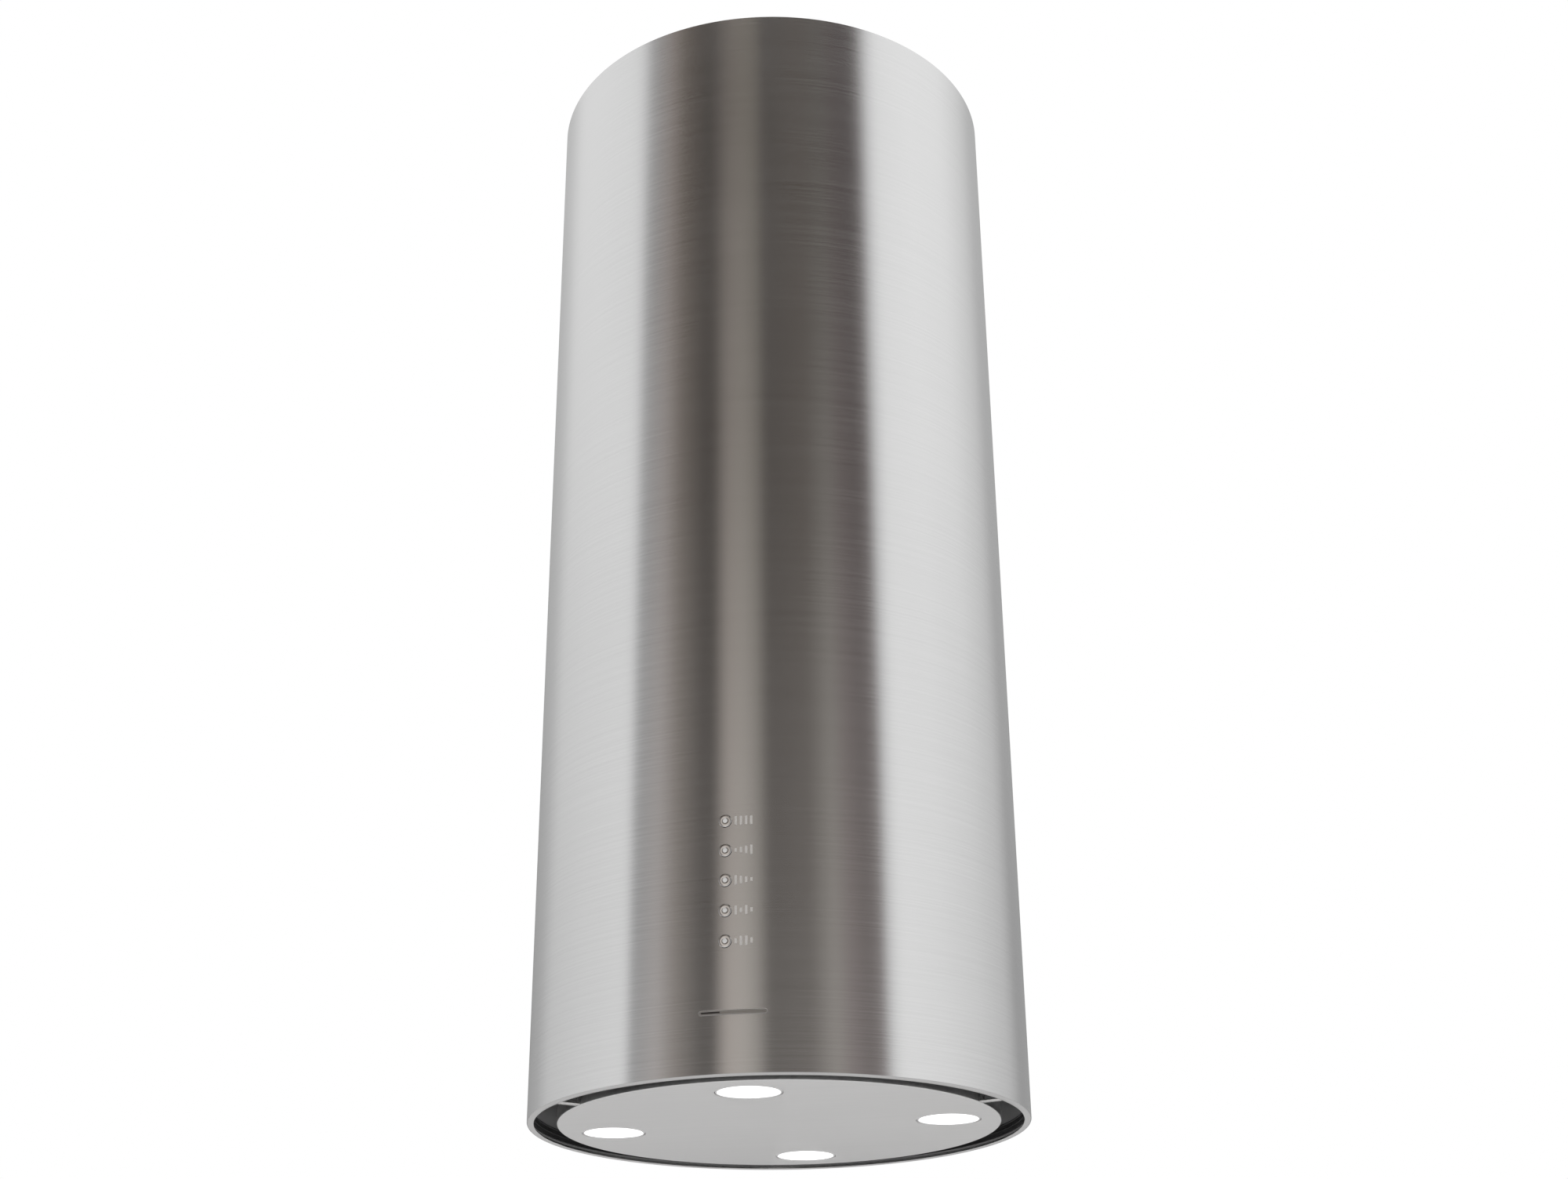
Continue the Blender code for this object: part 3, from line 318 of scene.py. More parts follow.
def tinted(tree, shader, value, dark, light):
    """Drives the base colour between two colours."""
    mix = tree.nodes.new("ShaderNodeMix")
    mix.data_type = "RGBA"
    mix.inputs[6].default_value = (*dark, 1)
    mix.inputs[7].default_value = (*light, 1)
    tree.links.new(value, mix.inputs[0])
    tree.links.new(mix.outputs[2], shader.inputs["Base Color"])


def bumped(tree, shader, value, strength, distance):
    """Drives the shader's normal from a height."""
    bump = tree.nodes.new("ShaderNodeBump")
    bump.inputs["Strength"].default_value = strength
    bump.inputs["Distance"].default_value = distance
    tree.links.new(value, bump.inputs["Height"])
    tree.links.new(bump.outputs[0], shader.inputs["Normal"])


def brushed_steel(name, grain, roughness, anisotropy, dark, light, round_z=False, bump=0.04):
    """Brushed stainless steel with its grain stretched along two axes and fine along the third."""
    made, tree, shader = new_material(name)
    set_values(shader, Metallic=1.0, Anisotropic=anisotropy)
    lines = noise(tree, grain, detail=3)
    clouds = noise(tree, (9, 9, 5), detail=3)
    both = maths(tree, "MULTIPLY_ADD", lines, 0.7, maths(tree, "MULTIPLY", clouds, 0.3))
    tree.links.new(spread(tree, both, roughness - 0.035, roughness + 0.035), shader.inputs["Roughness"])
    tinted(tree, shader, spread(tree, both, 0, 1), dark, light)
    bumped(tree, shader, lines, bump, 0.0001)
    if round_z:
        tangent = tree.nodes.new("ShaderNodeTangent")
        tangent.direction_type = "RADIAL"
        tangent.axis = "Z"
        tree.links.new(tangent.outputs[0], shader.inputs["Tangent"])
        shader.inputs["Anisotropic Rotation"].default_value = 0.25
    return made


def zinc_steel(name):
    """Galvanised sheet: soft grey crystals of slightly different brightness."""
    made, tree, shader = new_material(name)
    set_values(shader, Metallic=0.85)
    crystals = tree.nodes.new("ShaderNodeTexVoronoi")
    crystals.inputs["Scale"].default_value = 110
    place = scaled_place(tree, (1, 1, 1))
    warp = tree.nodes.new("ShaderNodeTexNoise")
    warp.inputs["Scale"].default_value = 60
    tree.links.new(place, warp.inputs["Vector"])
    shift = tree.nodes.new("ShaderNodeVectorMath")
    shift.operation = "MULTIPLY_ADD"
    tree.links.new(warp.outputs["Color"], shift.inputs[0])
    shift.inputs[1].default_value = (0.008, 0.008, 0.008)
    tree.links.new(place, shift.inputs[2])
    tree.links.new(shift.outputs[0], crystals.inputs["Vector"])
    grey = tree.nodes.new("ShaderNodeSeparateColor")
    tree.links.new(crystals.outputs["Color"], grey.inputs[0])
    value = grey.outputs[0]
    tinted(tree, shader, value, (0.40, 0.42, 0.44), (0.56, 0.58, 0.60))
    tree.links.new(spread(tree, value, 0.36, 0.50), shader.inputs["Roughness"])
    bumped(tree, shader, noise(tree, (300, 300, 300), detail=2), 0.05, 0.0002)
    return made


def coated(name, dark, light, low, high, grain, bump=0.15, metallic=0.0):
    """Paint, enamel or moulded plastic with a fine orange peel and gloss between low and high roughness."""
    made, tree, shader = new_material(name)
    set_values(shader, Metallic=metallic)
    peel = noise(tree, (grain, grain, grain), detail=3)
    patches = noise(tree, (14, 14, 14), detail=2)
    tinted(tree, shader, spread(tree, patches, 0, 1), dark, light)
    tree.links.new(spread(tree, patches, low, high), shader.inputs["Roughness"])
    bumped(tree, shader, peel, bump, 0.0002)
    return made


def lamp_and_highlight_glow(name, strength, dark, light):
    """Frosted diffuser glowing white, a little dimmer where the frosting is thick. The buttons use it for
    the painted highlight in their centres.
    """
    made, tree, shader = new_material(name)
    set_values(shader, Emission_Strength=strength)
    frost = noise(tree, (90, 90, 90), detail=3)
    tinted(tree, shader, spread(tree, frost, 0, 1), dark, light)
    tree.links.new(spread(tree, frost, 0.30, 0.42), shader.inputs["Roughness"])
    glow = tree.nodes.new("ShaderNodeMix")
    glow.data_type = "RGBA"
    glow.inputs[6].default_value = (0.97, 0.985, 1.0, 1)
    glow.inputs[7].default_value = (1.0, 1.0, 1.0, 1)
    tree.links.new(frost, glow.inputs[0])
    tree.links.new(glow.outputs[2], shader.inputs["Emission Color"])
    return made


TUBE_STEEL = brushed_steel(
    "tube_steel", (6, 6, 1500), 0.21, 0.9, (0.56, 0.56, 0.56), (0.62, 0.62, 0.62), round_z=True
)
PANEL_STEEL = brushed_steel(
    "panel_steel", (5, 1200, 5), 0.34, 0.3, (0.66, 0.66, 0.66), (0.74, 0.74, 0.74), bump=0.03
)
EDGE_STEEL = brushed_steel(
    "edge_steel", (60, 60, 900), 0.22, 0.2, (0.70, 0.70, 0.70), (0.80, 0.80, 0.80)
)
SPRING_STEEL = brushed_steel(
    "spring_steel", (500, 40, 500), 0.28, 0.4, (0.56, 0.56, 0.55), (0.70, 0.70, 0.69)
)
POLISHED = brushed_steel(
    "polished_steel", (200, 200, 200), 0.14, 0.1, (0.72, 0.72, 0.73), (0.82, 0.82, 0.82)
)
ZINC = zinc_steel("zinc_steel")
ALUMINIUM = brushed_steel(
    "mesh_aluminium", (250, 250, 250), 0.36, 0.0, (0.58, 0.59, 0.60), (0.74, 0.75, 0.76)
)
BLACK_PLASTIC = coated("black_plastic", (0.014, 0.014, 0.015), (0.024, 0.024, 0.026), 0.42, 0.58, 1500)
BADGE = coated("badge_satin", (0.34, 0.33, 0.32), (0.42, 0.41, 0.40), 0.30, 0.42, 700, metallic=0.9)
INLAY = coated("badge_inlay", (0.020, 0.018, 0.017), (0.034, 0.031, 0.029), 0.26, 0.36, 900)
PRINT_WHITE = coated("printed_marks", (0.76, 0.75, 0.73), (0.86, 0.85, 0.83), 0.45, 0.60, 1800)
BOARD_GREEN = coated("solder_mask", (0.020, 0.11, 0.05), (0.035, 0.17, 0.08), 0.30, 0.42, 400)
CABLE_GREY = coated("cable_sheath", (0.17, 0.17, 0.18), (0.25, 0.25, 0.26), 0.48, 0.62, 1200)
LENS = lamp_and_highlight_glow("lamp_glow", 1.15, (0.90, 0.91, 0.92), (0.97, 0.97, 0.96))
# Painted highlight: each button's centre glows to stand in for the bright glint on its chrome cap.
BUTTON_PAINTED_HIGHLIGHT = lamp_and_highlight_glow("button_painted_highlight", 0.26, (0.50, 0.50, 0.49), (0.60, 0.60, 0.59))
GREY_PAINT = coated("grey_paint", (0.30, 0.30, 0.305), (0.37, 0.37, 0.375), 0.44, 0.58, 900)
# Black for the real rubber bushes and the crimp, and for the strip inside the rim that paints the shade
# there.
RUBBER_AND_RIM_SHADE = coated("rubber_and_rim_shade", (0.008, 0.008, 0.009), (0.014, 0.014, 0.015), 0.60, 0.75, 1400)

SLOT_LOOKS = {
    "brushed_stainless": TUBE_STEEL,
    "galvanised_steel": ZINC,
    "spring_steel": SPRING_STEEL,
    "filter_aluminium": ALUMINIUM,
    "chrome": POLISHED,
    "grey_painted_steel": GREY_PAINT,
    "black_plastic": BLACK_PLASTIC,
    "badge_grey": BADGE,
    "frosted_glass": LENS,
    "board_green": BOARD_GREEN,
    "cable_grey": CABLE_GREY,
}

SLOT_OF = {part["node"]: part["material_slot"] for part in frame["record"]["subparts"]}

# CAD nodes shown with their corners rounded
SOFTENED_PARTS = (
    "filter_hook_left", "filter_hook_right", "filter_latch", "latch_strap", "filter_frame",
    "spring_clip_left", "spring_clip_right", "panel_tab_left", "panel_tab_right",
    "hinge_leaf", "hinge_bracket", "hinge_pin", "ceiling_plate", "blower_casing", "outlet_collar",
    "control_box", "control_box_lid", "mains_gland", "motor_bracket", "motor", "capacitor",
    "button_carrier", "switch_board", "damper_front", "damper_rear", "scroll_housing",
    *[f"{which}_angle_{corner}" for which in ("lower", "upper") for corner in CORNERS],
)


def dress_cad_nodes():
    """Gives every CAD node the look of its own slot. Replaced nodes are hidden later."""
    for name, slot in SLOT_OF.items():
        node = frame["nodes"][name]
        node.data.materials.clear()
        node.data.materials.append(SLOT_LOOKS[slot])


# ------------------------------------------------------------------ mesh making


def place_piece(name, mesh, look, body, node=None):
    """Links a finished mesh, gives it its look and lets it ride on a body."""
    piece = bpy.data.objects.new(name, mesh)
    bpy.context.scene.collection.objects.link(piece)
    if look is not None:
        mesh.materials.append(look)
    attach(piece, body)
    if node is not None:
        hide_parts(node)
    return piece


def mesh_from(name, shape, smooth_angle=30):
    """A mesh from a bmesh, with outward normals and smooth shading between its sharp edges."""
    bmesh.ops.recalc_face_normals(shape, faces=shape.faces)
    mesh = bpy.data.meshes.new(name)
    shape.to_mesh(mesh)
    shape.free()
    mesh.shade_smooth()
    mesh.set_sharp_from_angle(angle=math.radians(smooth_angle))
    return mesh


def lathe(shape, profile, steps, matrix=Matrix.Identity(4)):
    """Adds a closed turned shape to a bmesh from (radius, z) points. Points at radius 0 become poles."""
    rings = []
    for radius, z in profile:
        if radius == 0:
            rings.append([shape.verts.new(matrix @ Vector((0, 0, z)))])
            continue
        turns = [2 * math.pi * i / steps for i in range(steps)]
        ring = [Vector((radius * math.sin(t), -radius * math.cos(t), z)) for t in turns]
        rings.append([shape.verts.new(matrix @ point) for point in ring])
    closed = profile[0][0] > 0
    pairs = list(zip(rings, rings[1:] + rings[:1])) if closed else list(zip(rings, rings[1:]))
    for a, b in pairs:
        for i in range(steps):
            j = (i + 1) % steps
            corners = [a[i % len(a)], a[j % len(a)], b[j % len(b)], b[i % len(b)]]
            unique = list(dict.fromkeys(corners))
            if len(unique) > 2:
                shape.faces.new(unique)


def bend(centre, radius, first, last, steps=6):
    """(radius, height) points on an arc between two angles, measured from straight outwards."""
    turns = [math.radians(first + (last - first) * i / steps) for i in range(steps + 1)]
    return [(centre[0] + radius * math.cos(t), centre[1] + radius * math.sin(t)) for t in turns]


def raised(profile):
    """Profile heights above the rim as world z."""
    return [(radius, up(height)) for radius, height in profile]


def cut_with(piece, shape, name):
    """Cuts a bmesh of closed shapes out of a piece's mesh, once and for all."""
    cutter = bpy.data.objects.new(name, mesh_from(name, shape))
    bpy.context.scene.collection.objects.link(cutter)
    step = piece.modifiers.new("cut", "BOOLEAN")
    step.operation = "DIFFERENCE"
    step.object = cutter
    bpy.context.view_layer.update()
    graph = bpy.context.evaluated_depsgraph_get()
    cut_mesh = bpy.data.meshes.new_from_object(piece.evaluated_get(graph))
    piece.modifiers.clear()
    piece.data = cut_mesh
    bpy.data.objects.remove(cutter)
    cut_mesh.shade_smooth()
    cut_mesh.set_sharp_from_angle(angle=math.radians(30))


def true_walls(mesh, radius_limit):
    """Gives the faces of a turned wall the normals of a true cylinder, so cuts leave no ripples."""
    normals = []
    for face in mesh.polygons:
        out = Vector((face.center.x, face.center.y, 0)).normalized()
        lean = face.normal.dot(out)
        on_wall = abs(lean) > 0.995 and face.center.xy.length > radius_limit
        for index in face.vertices:
            point = mesh.vertices[index].co
            wall = Vector((point.x, point.y, 0)).normalized() * math.copysign(1, lean)
            normals.append(wall if on_wall else Vector((0, 0, 0)))
    mesh.normals_split_custom_set(normals)


# ------------------------------------------------------------------ tube, buttons and marks


def make_tube():
    """Rolled steel tube: rounded rim with a narrow lip, button holes and a fine seam behind."""
    centre = (TUBE_RADIUS - RIM_BEND, RIM_BEND)
    inner_wall = TUBE_RADIUS - TUBE_WALL
    lip = TUBE_RADIUS - LIP_WIDTH
    lip_edge = TUBE_WALL / 2
    top = TUBE_HIGH.z - RIM_Z
    profile = [(TUBE_RADIUS, top)]
    profile += bend(centre, RIM_BEND, 0, -90, 8)
    profile += bend((lip + lip_edge, lip_edge), lip_edge, -90, -270, 6)
    profile += bend(centre, RIM_BEND - TUBE_WALL, -90, 0, 6)
    profile.append((inner_wall, top))
    shape = bmesh.new()
    lathe(shape, raised(profile), FINE)
    tube = place_piece("tube", mesh_from("tube", shape), None, FIXED, "outer_tube")
    holes = bmesh.new()
    hole_margin = 0.35 * MM
    for button in BUTTONS:
        low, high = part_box("button_" + button)
        middle = (low + high) / 2
        radius = button_radius() + hole_margin
        made = bmesh.ops.create_cone(
            holes, cap_ends=True, segments=48, radius1=radius, radius2=radius, depth=14 * MM
        )["verts"]
        spin = Matrix.Rotation(math.pi / 2, 4, "X")
        place = Matrix.Translation((middle.x, -TUBE_RADIUS, middle.z)) @ spin
        bmesh.ops.transform(holes, matrix=place, verts=made)
    seam = bmesh.ops.create_cube(holes, size=1)["verts"]
    seam_length = 1.2 * (TUBE_HIGH.z - TUBE_LOW.z)
    seam_rise = 110 * MM  # lifts the seam's lower end clear of the rim's bend
    bmesh.ops.scale(holes, vec=(0.35 * MM, 0.7 * MM, seam_length), verts=seam)
    seam_place = (0, TUBE_RADIUS, (TUBE_HIGH.z + TUBE_LOW.z) / 2 + seam_rise)
    bmesh.ops.translate(holes, vec=seam_place, verts=seam)
    cut_with(tube, holes, "tube_cutter")
    tube.data.materials.append(TUBE_STEEL)
    true_walls(tube.data, inner_wall - MM)


def button_radius():
    """Radius of a button's cap: its CAD box is as wide as the hidden flange behind the tube."""
    low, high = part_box("button_power")
    return (high.x - low.x) / 2 - BUTTON_FLANGE


def make_button(name):
    """Crowned metal cap with a glowing centre that paints its highlight, on the CAD button's flange and
    stem.
    """
    low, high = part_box("button_" + name)
    middle = (low + high) / 2
    radius = button_radius()
    face = -low.y
    flange_top = TUBE_RADIUS - 1.9 * MM
    flange_base = flange_top - 1.2 * MM
    flange = radius + BUTTON_FLANGE
    stem = radius / 2
    edge = 0.5 * MM
    crown = 0.08 * MM
    glow_radius = 1.7 * MM
    pocket = face - 0.45 * MM
    profile = [(0, pocket), (glow_radius, pocket), (glow_radius, face - 0.1 * MM)]
    profile += [(glow_radius + 0.25 * MM, face)]
    profile += bend((radius - edge, face - crown - edge), edge, 90, 0, 3)
    profile += [(radius, flange_top), (flange, flange_top), (flange, flange_base)]
    profile += [(stem, flange_base), (stem, -high.y), (0, -high.y)]
    spin = Matrix.Rotation(math.pi / 2, 4, "X")
    place = Matrix.Translation((middle.x, 0, middle.z)) @ spin
    shape = bmesh.new()
    lathe(shape, profile, SMALL, place)
    body = "button_" + name
    place_piece("cap_" + name, mesh_from("cap_" + name, shape), POLISHED, body, body)
    # Glowing dome in the cap's centre: a painted highlight, not an indicator lamp.
    glow = bmesh.new()
    dome_radius = glow_radius - 0.05 * MM
    dome_base = pocket + 0.02 * MM
    dome = [(0, face - 0.05 * MM), (glow_radius * 0.6, face - 0.12 * MM)]
    dome += [(dome_radius, face - 0.3 * MM), (dome_radius, dome_base), (0, dome_base)]
    lathe(glow, dome, SMALL, place)
    mesh = mesh_from("light_" + name, glow)
    place_piece("light_" + name, mesh, BUTTON_PAINTED_HIGHLIGHT, body)


def wrap_on_tube(x, z, lift):
    """A point on the tube's outside: x measured along its curve from the front."""
    turn = x / TUBE_RADIUS
    radius = TUBE_RADIUS + lift
    return Vector((radius * math.sin(turn), -radius * math.cos(turn), z))


def add_mark(shape, outline, lift=0.12 * MM):
    """Adds a thin raised mark, drawn as (x, z) corners, that follows the tube."""
    front = [shape.verts.new(wrap_on_tube(x, z, lift)) for x, z in outline]
    back = [shape.verts.new(wrap_on_tube(x, z, 0.01 * MM)) for x, z in outline]
    shape.faces.new(front)
    shape.faces.new(list(reversed(back)))
    count = len(outline)
    for i in range(count):
        j = (i + 1) % count
        shape.faces.new((front[j], front[i], back[i], back[j]))


def bar(x, z, width, height):
    """Corners of an upright rectangle on the tube, from its middle."""
    return [
        (x - width / 2, z - height / 2), (x + width / 2, z - height / 2),
        (x + width / 2, z + height / 2), (x - width / 2, z + height / 2),
    ]


def make_marks():
    """Printed marks beside each button: rows of four short bars, their heights here in millimetres."""
    heights = {
        "power": (6.4, 6.4, 6.4, 6.4),
        "speed_up": (2.6, 4.0, 5.4, 6.8),
        "speed_down": (6.8, 5.4, 4.0, 2.6),
        "timer": (6.4, 3.0, 6.4, 3.0),
        "light": (3.6, 6.6, 6.6, 3.6),
    }
    spacing = 3.7 * MM
    width = 1.7 * MM
    gap = 3.2 * MM
    for name in BUTTONS:
        middle = box_centre("button_" + name)
        shape = bmesh.new()
        first = middle.x + button_radius() + gap
        for i, height in enumerate(heights[name]):
            add_mark(shape, bar(first + i * spacing, middle.z, width, height * MM))
        mesh = mesh_from("marks_" + name, shape)
        place_piece("marks_" + name, mesh, PRINT_WHITE, FIXED)


def make_badge():
    """Slim blank badge plate with rounded ends, a raised border line and a dark inlay at its left."""
    low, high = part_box("badge_plate")
    z = (low.z + high.z) / 2
    half_height = (high.z - low.z) / 2
    half_length = TUBE_RADIUS * math.asin(high.x / -low.y)
    shape = bmesh.new()
    steps = 8
    outline = []
    for side in (1, -1):
        for i in range(steps + 1):
            turn = math.radians(-90 + 180 * i / steps)
            x = side * (half_length - half_height + half_height * math.cos(turn))
            outline.append((x, z + side * half_height * math.sin(turn)))
    spine = 24
    length = half_length - half_height
    top = [(length - 2 * length * i / spine, z + half_height) for i in range(1, spine)]
    bottom = [(-x, z - half_height) for x, _ in top]
    ring = outline[: steps + 1] + top + outline[steps + 1:] + bottom
    layers = []
    for inset, lift in ((0, 0.02), (0, 0.45), (0.25, 0.7), (0.8, 0.7), (1.0, 0.5)):
        layer = []
        for x, height in ring:
            inner_x = x * (1 - inset * MM / half_length)
            inner_z = z + (height - z) * (1 - inset * MM / half_height)
            layer.append(shape.verts.new(wrap_on_tube(inner_x, inner_z, lift * MM)))
        layers.append(layer)
    count = len(ring)
    for a, b in zip(layers, layers[1:]):
        for i in range(count):
            j = (i + 1) % count
            shape.faces.new((a[i], a[j], b[j], b[i]))
    half = steps + spine
    for layer in (layers[0], layers[-1]):
        right = layer[: steps + 1]
        left = layer[half: half + steps + 1]
        shape.faces.new(right)
        shape.faces.new(left)
        upper = [right[-1], *layer[steps + 1: half], left[0]]
        lower = [left[-1], *layer[half + steps + 1:], right[0]]
        for i in range(len(upper) - 1):
            k = len(lower) - 1 - i
            shape.faces.new((upper[i], upper[i + 1], lower[k - 1], lower[k]))
    place_piece("badge", mesh_from("badge", shape), BADGE, FIXED, "badge_plate")
    inlay = bmesh.new()
    inlay_length = 0.55 * half_length
    inlay_start = -0.92 * half_length
    inlay_height = high.z - low.z - 2.4 * MM
    inlay_lift = 0.62 * MM
    steps = 10
    for i in range(steps):
        x = inlay_start + inlay_length * (i + 0.5) / steps
        add_mark(inlay, bar(x, z, inlay_length / steps, inlay_height), inlay_lift)
    place_piece("badge_inlay", mesh_from("badge_inlay", inlay), INLAY, FIXED)


# ------------------------------------------------------------------ sheet metal and fixings


def softened(node, width=0.25 * MM):
    """A CAD node with its flat faces merged and its corners rounded, riding on the node's own body."""
    source = frame["nodes"][node]
    shape = bmesh.new()
    shape.from_mesh(source.data)
    bmesh.ops.remove_doubles(shape, verts=shape.verts, dist=0.001 * MM)
    bmesh.ops.dissolve_limit(
        shape, angle_limit=math.radians(0.4), use_dissolve_boundaries=False,
        verts=shape.verts, edges=shape.edges,
    )
    corners = [e for e in shape.edges if e.is_manifold and e.calc_face_angle() > math.radians(40)]
    bmesh.ops.bevel(
        shape, geom=corners, offset=width, offset_type="OFFSET", segments=2, profile=0.5,
        affect="EDGES", clamp_overlap=True,
    )
    name = node + "_finished"
    look = source.data.materials[0]
    return place_piece(name, mesh_from(name, shape, 36), look, source["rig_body"], node)


def screw_head(radius):
    """Mesh of one pan head with a cross recess, standing on z = 0."""
    height = 0.62 * radius
    shape = bmesh.new()
    profile = [(0, height), (0.45 * radius, 0.97 * height), (0.78 * radius, 0.80 * height)]
    profile += [(0.95 * radius, 0.48 * height), (radius, 0.1 * height), (0.98 * radius, 0), (0, 0)]
    lathe(shape, profile, SMALL)
    head = bpy.data.objects.new("screw_head", mesh_from("screw_head", shape))
    bpy.context.scene.collection.objects.link(head)
    for size in ((1.05, 0.24), (0.24, 1.05)):
        slot = bmesh.new()
        bmesh.ops.create_cube(slot, size=1)
        bmesh.ops.scale(slot, vec=(size[0] * radius, size[1] * radius, 0.9 * height), verts=slot.verts)
        bmesh.ops.translate(slot, vec=(0, 0, height), verts=slot.verts)
        cut_with(head, slot, "screw_slot")
    mesh = head.data
    bpy.data.objects.remove(head)
    return mesh


def make_screws(name, spots, radius):
    """One piece with a screw head at each (point, direction it faces)."""
    head = screw_head(radius)
    shape = bmesh.new()
    for i, (point, direction) in enumerate(spots):
        before = len(shape.verts)
        shape.from_mesh(head)
        turn = Vector(direction).to_track_quat("Z", "Y").to_matrix().to_4x4()
        twist = Matrix.Rotation(math.radians(37 * i), 4, "Z")
        shape.verts.ensure_lookup_table()
        added = shape.verts[before:]
        bmesh.ops.transform(shape, matrix=Matrix.Translation(point) @ turn @ twist, verts=added)
    place_piece(name, mesh_from(name, shape), SPRING_STEEL, FIXED)


def make_grommet(name, point, direction):
    """Black rubber bush that a lead passes through."""
    bore = CABLE_RADIUS + 0.1 * MM
    outer = bore + 1.6 * MM
    groove = outer - 0.9 * MM
    half = 3 * MM
    inner_edge = 0.3 * MM
    outer_edge = 0.5 * MM
    upper = [(bore, half - inner_edge), (bore + inner_edge, half), (outer - outer_edge, half)]
    upper += [(outer, half - outer_edge), (outer, 0.3 * half), (groove, 0.2 * half)]
    profile = upper + [(radius, -z) for radius, z in reversed(upper)]
    turn = Vector(direction).to_track_quat("Z", "Y").to_matrix().to_4x4()
    shape = bmesh.new()
    lathe(shape, profile, SMALL, Matrix.Translation(point) @ turn)
    place_piece(name, mesh_from(name, shape), RUBBER_AND_RIM_SHADE, FIXED)


def swept(shape, section, route):
    """Adds a section of (across, up) points swept along a route of (point, across, up) frames."""
    rings = []
    for point, across, above in route:
        rings.append([shape.verts.new(point + across * a + above * b) for a, b in section])
    count = len(section)
    for a, b in zip(rings, rings[1:]):
        for i in range(count):
            j = (i + 1) % count
            shape.faces.new((a[i], a[j], b[j], b[i]))
    shape.faces.new(list(reversed(rings[0])))
    shape.faces.new(rings[-1])


def ring_section(radius, sides):
    """Points of a round section, for swept()."""
    turns = [2 * math.pi * i / sides for i in range(sides)]
    return [(radius * math.cos(turn), radius * math.sin(turn)) for turn in turns]


def arc_route(first, last, radius, height, steps):
    """Frames along an arc round the hood's axis, with across pointing outwards."""
    route = []
    for i in range(steps + 1):
        bearing = first + (last - first) * i / steps
        point = around(bearing, radius, height)
        outwards = Vector((point.x, point.y, 0)).normalized()
        route.append((point, outwards, ABOVE))
    return route


# ------------------------------------------------------------------ rim, base ring and filter


def bearing_of(node):
    """Bearing of a node's middle round the hood's axis, in degrees from the front."""
    middle = box_centre(node)
    return math.degrees(math.atan2(middle.x, -middle.y)) % 360


def make_base_ring():
    """Grey ring with rounded bends and a stiffening bead round its roof plate."""
    low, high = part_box("base_ring")
    filter_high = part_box("filter_frame")[1]
    outer = high.x
    port = filter_high.x + 1.5 * MM
    top = high.z - RIM_Z
    skirt = low.z - RIM_Z
    collar_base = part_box("filter_mesh")[0].z - RIM_Z - 1.5 * MM
    inside = outer - PRESSED_SHEET
    under = top - PRESSED_SHEET
    collar = port + PRESSED_SHEET
    corner = 2 * MM
    port_bend = 1.5 * MM
    bead = outer - 17.4 * MM
    profile = [(outer, skirt + 0.4 * MM), (outer - 0.2 * MM, skirt), (inside, skirt)]
    profile += bend((inside - corner, under - corner), corner, 0, 90)
    profile += bend((bead, under), 1.6 * MM, 0, -180, 8)
    profile += bend((collar + port_bend, under - port_bend), port_bend, 90, 180)
    profile += [(collar, collar_base), (port, collar_base)]
    profile += bend((port + port_bend, top - port_bend), port_bend, 180, 90)
    profile += bend((outer - corner, top - corner), corner, 90, 0)
    shape = bmesh.new()
    lathe(shape, raised(profile), FINE)
    mesh = mesh_from("ring", shape)
    place_piece("ring", mesh, GREY_PAINT, FIXED, "base_ring")


def make_rim_strip():
    """Black strip with two lips inside the skirt, left open at the clips and the hinge: painted shade low
    inside the rim, shaped as a rubber strip.
    """
    breaks = sorted(map(bearing_of, ("spring_clip_left", "spring_clip_right", "hinge_leaf")))
    half_opening = 6
    skirt_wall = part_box("base_ring")[1].x - PRESSED_SHEET
    section = [
        (-0.05, 4.0), (-0.05, 12.0), (-0.9, 12.0), (-1.1, 11.6), (-0.6, 10.8), (-0.6, 8.6), (-1.2, 8.2),
        (-1.2, 7.6), (-0.6, 7.2), (-0.6, 5.0), (-1.1, 4.4), (-0.9, 4.0),
    ]
    section = [(a * MM, b * MM) for a, b in section]
    shape = bmesh.new()
    for first, last in zip(breaks, breaks[1:] + [breaks[0] + 360]):
        steps = round((last - first) / 1.5)
        route = arc_route(first + half_opening, last - half_opening, skirt_wall, 0, steps)
        swept(shape, section, route)
    # The strip's black is painted shade on the low part of the skirt, next to the lip.
    place_piece("rim_strip", mesh_from("rim_strip", shape), RUBBER_AND_RIM_SHADE, FIXED)


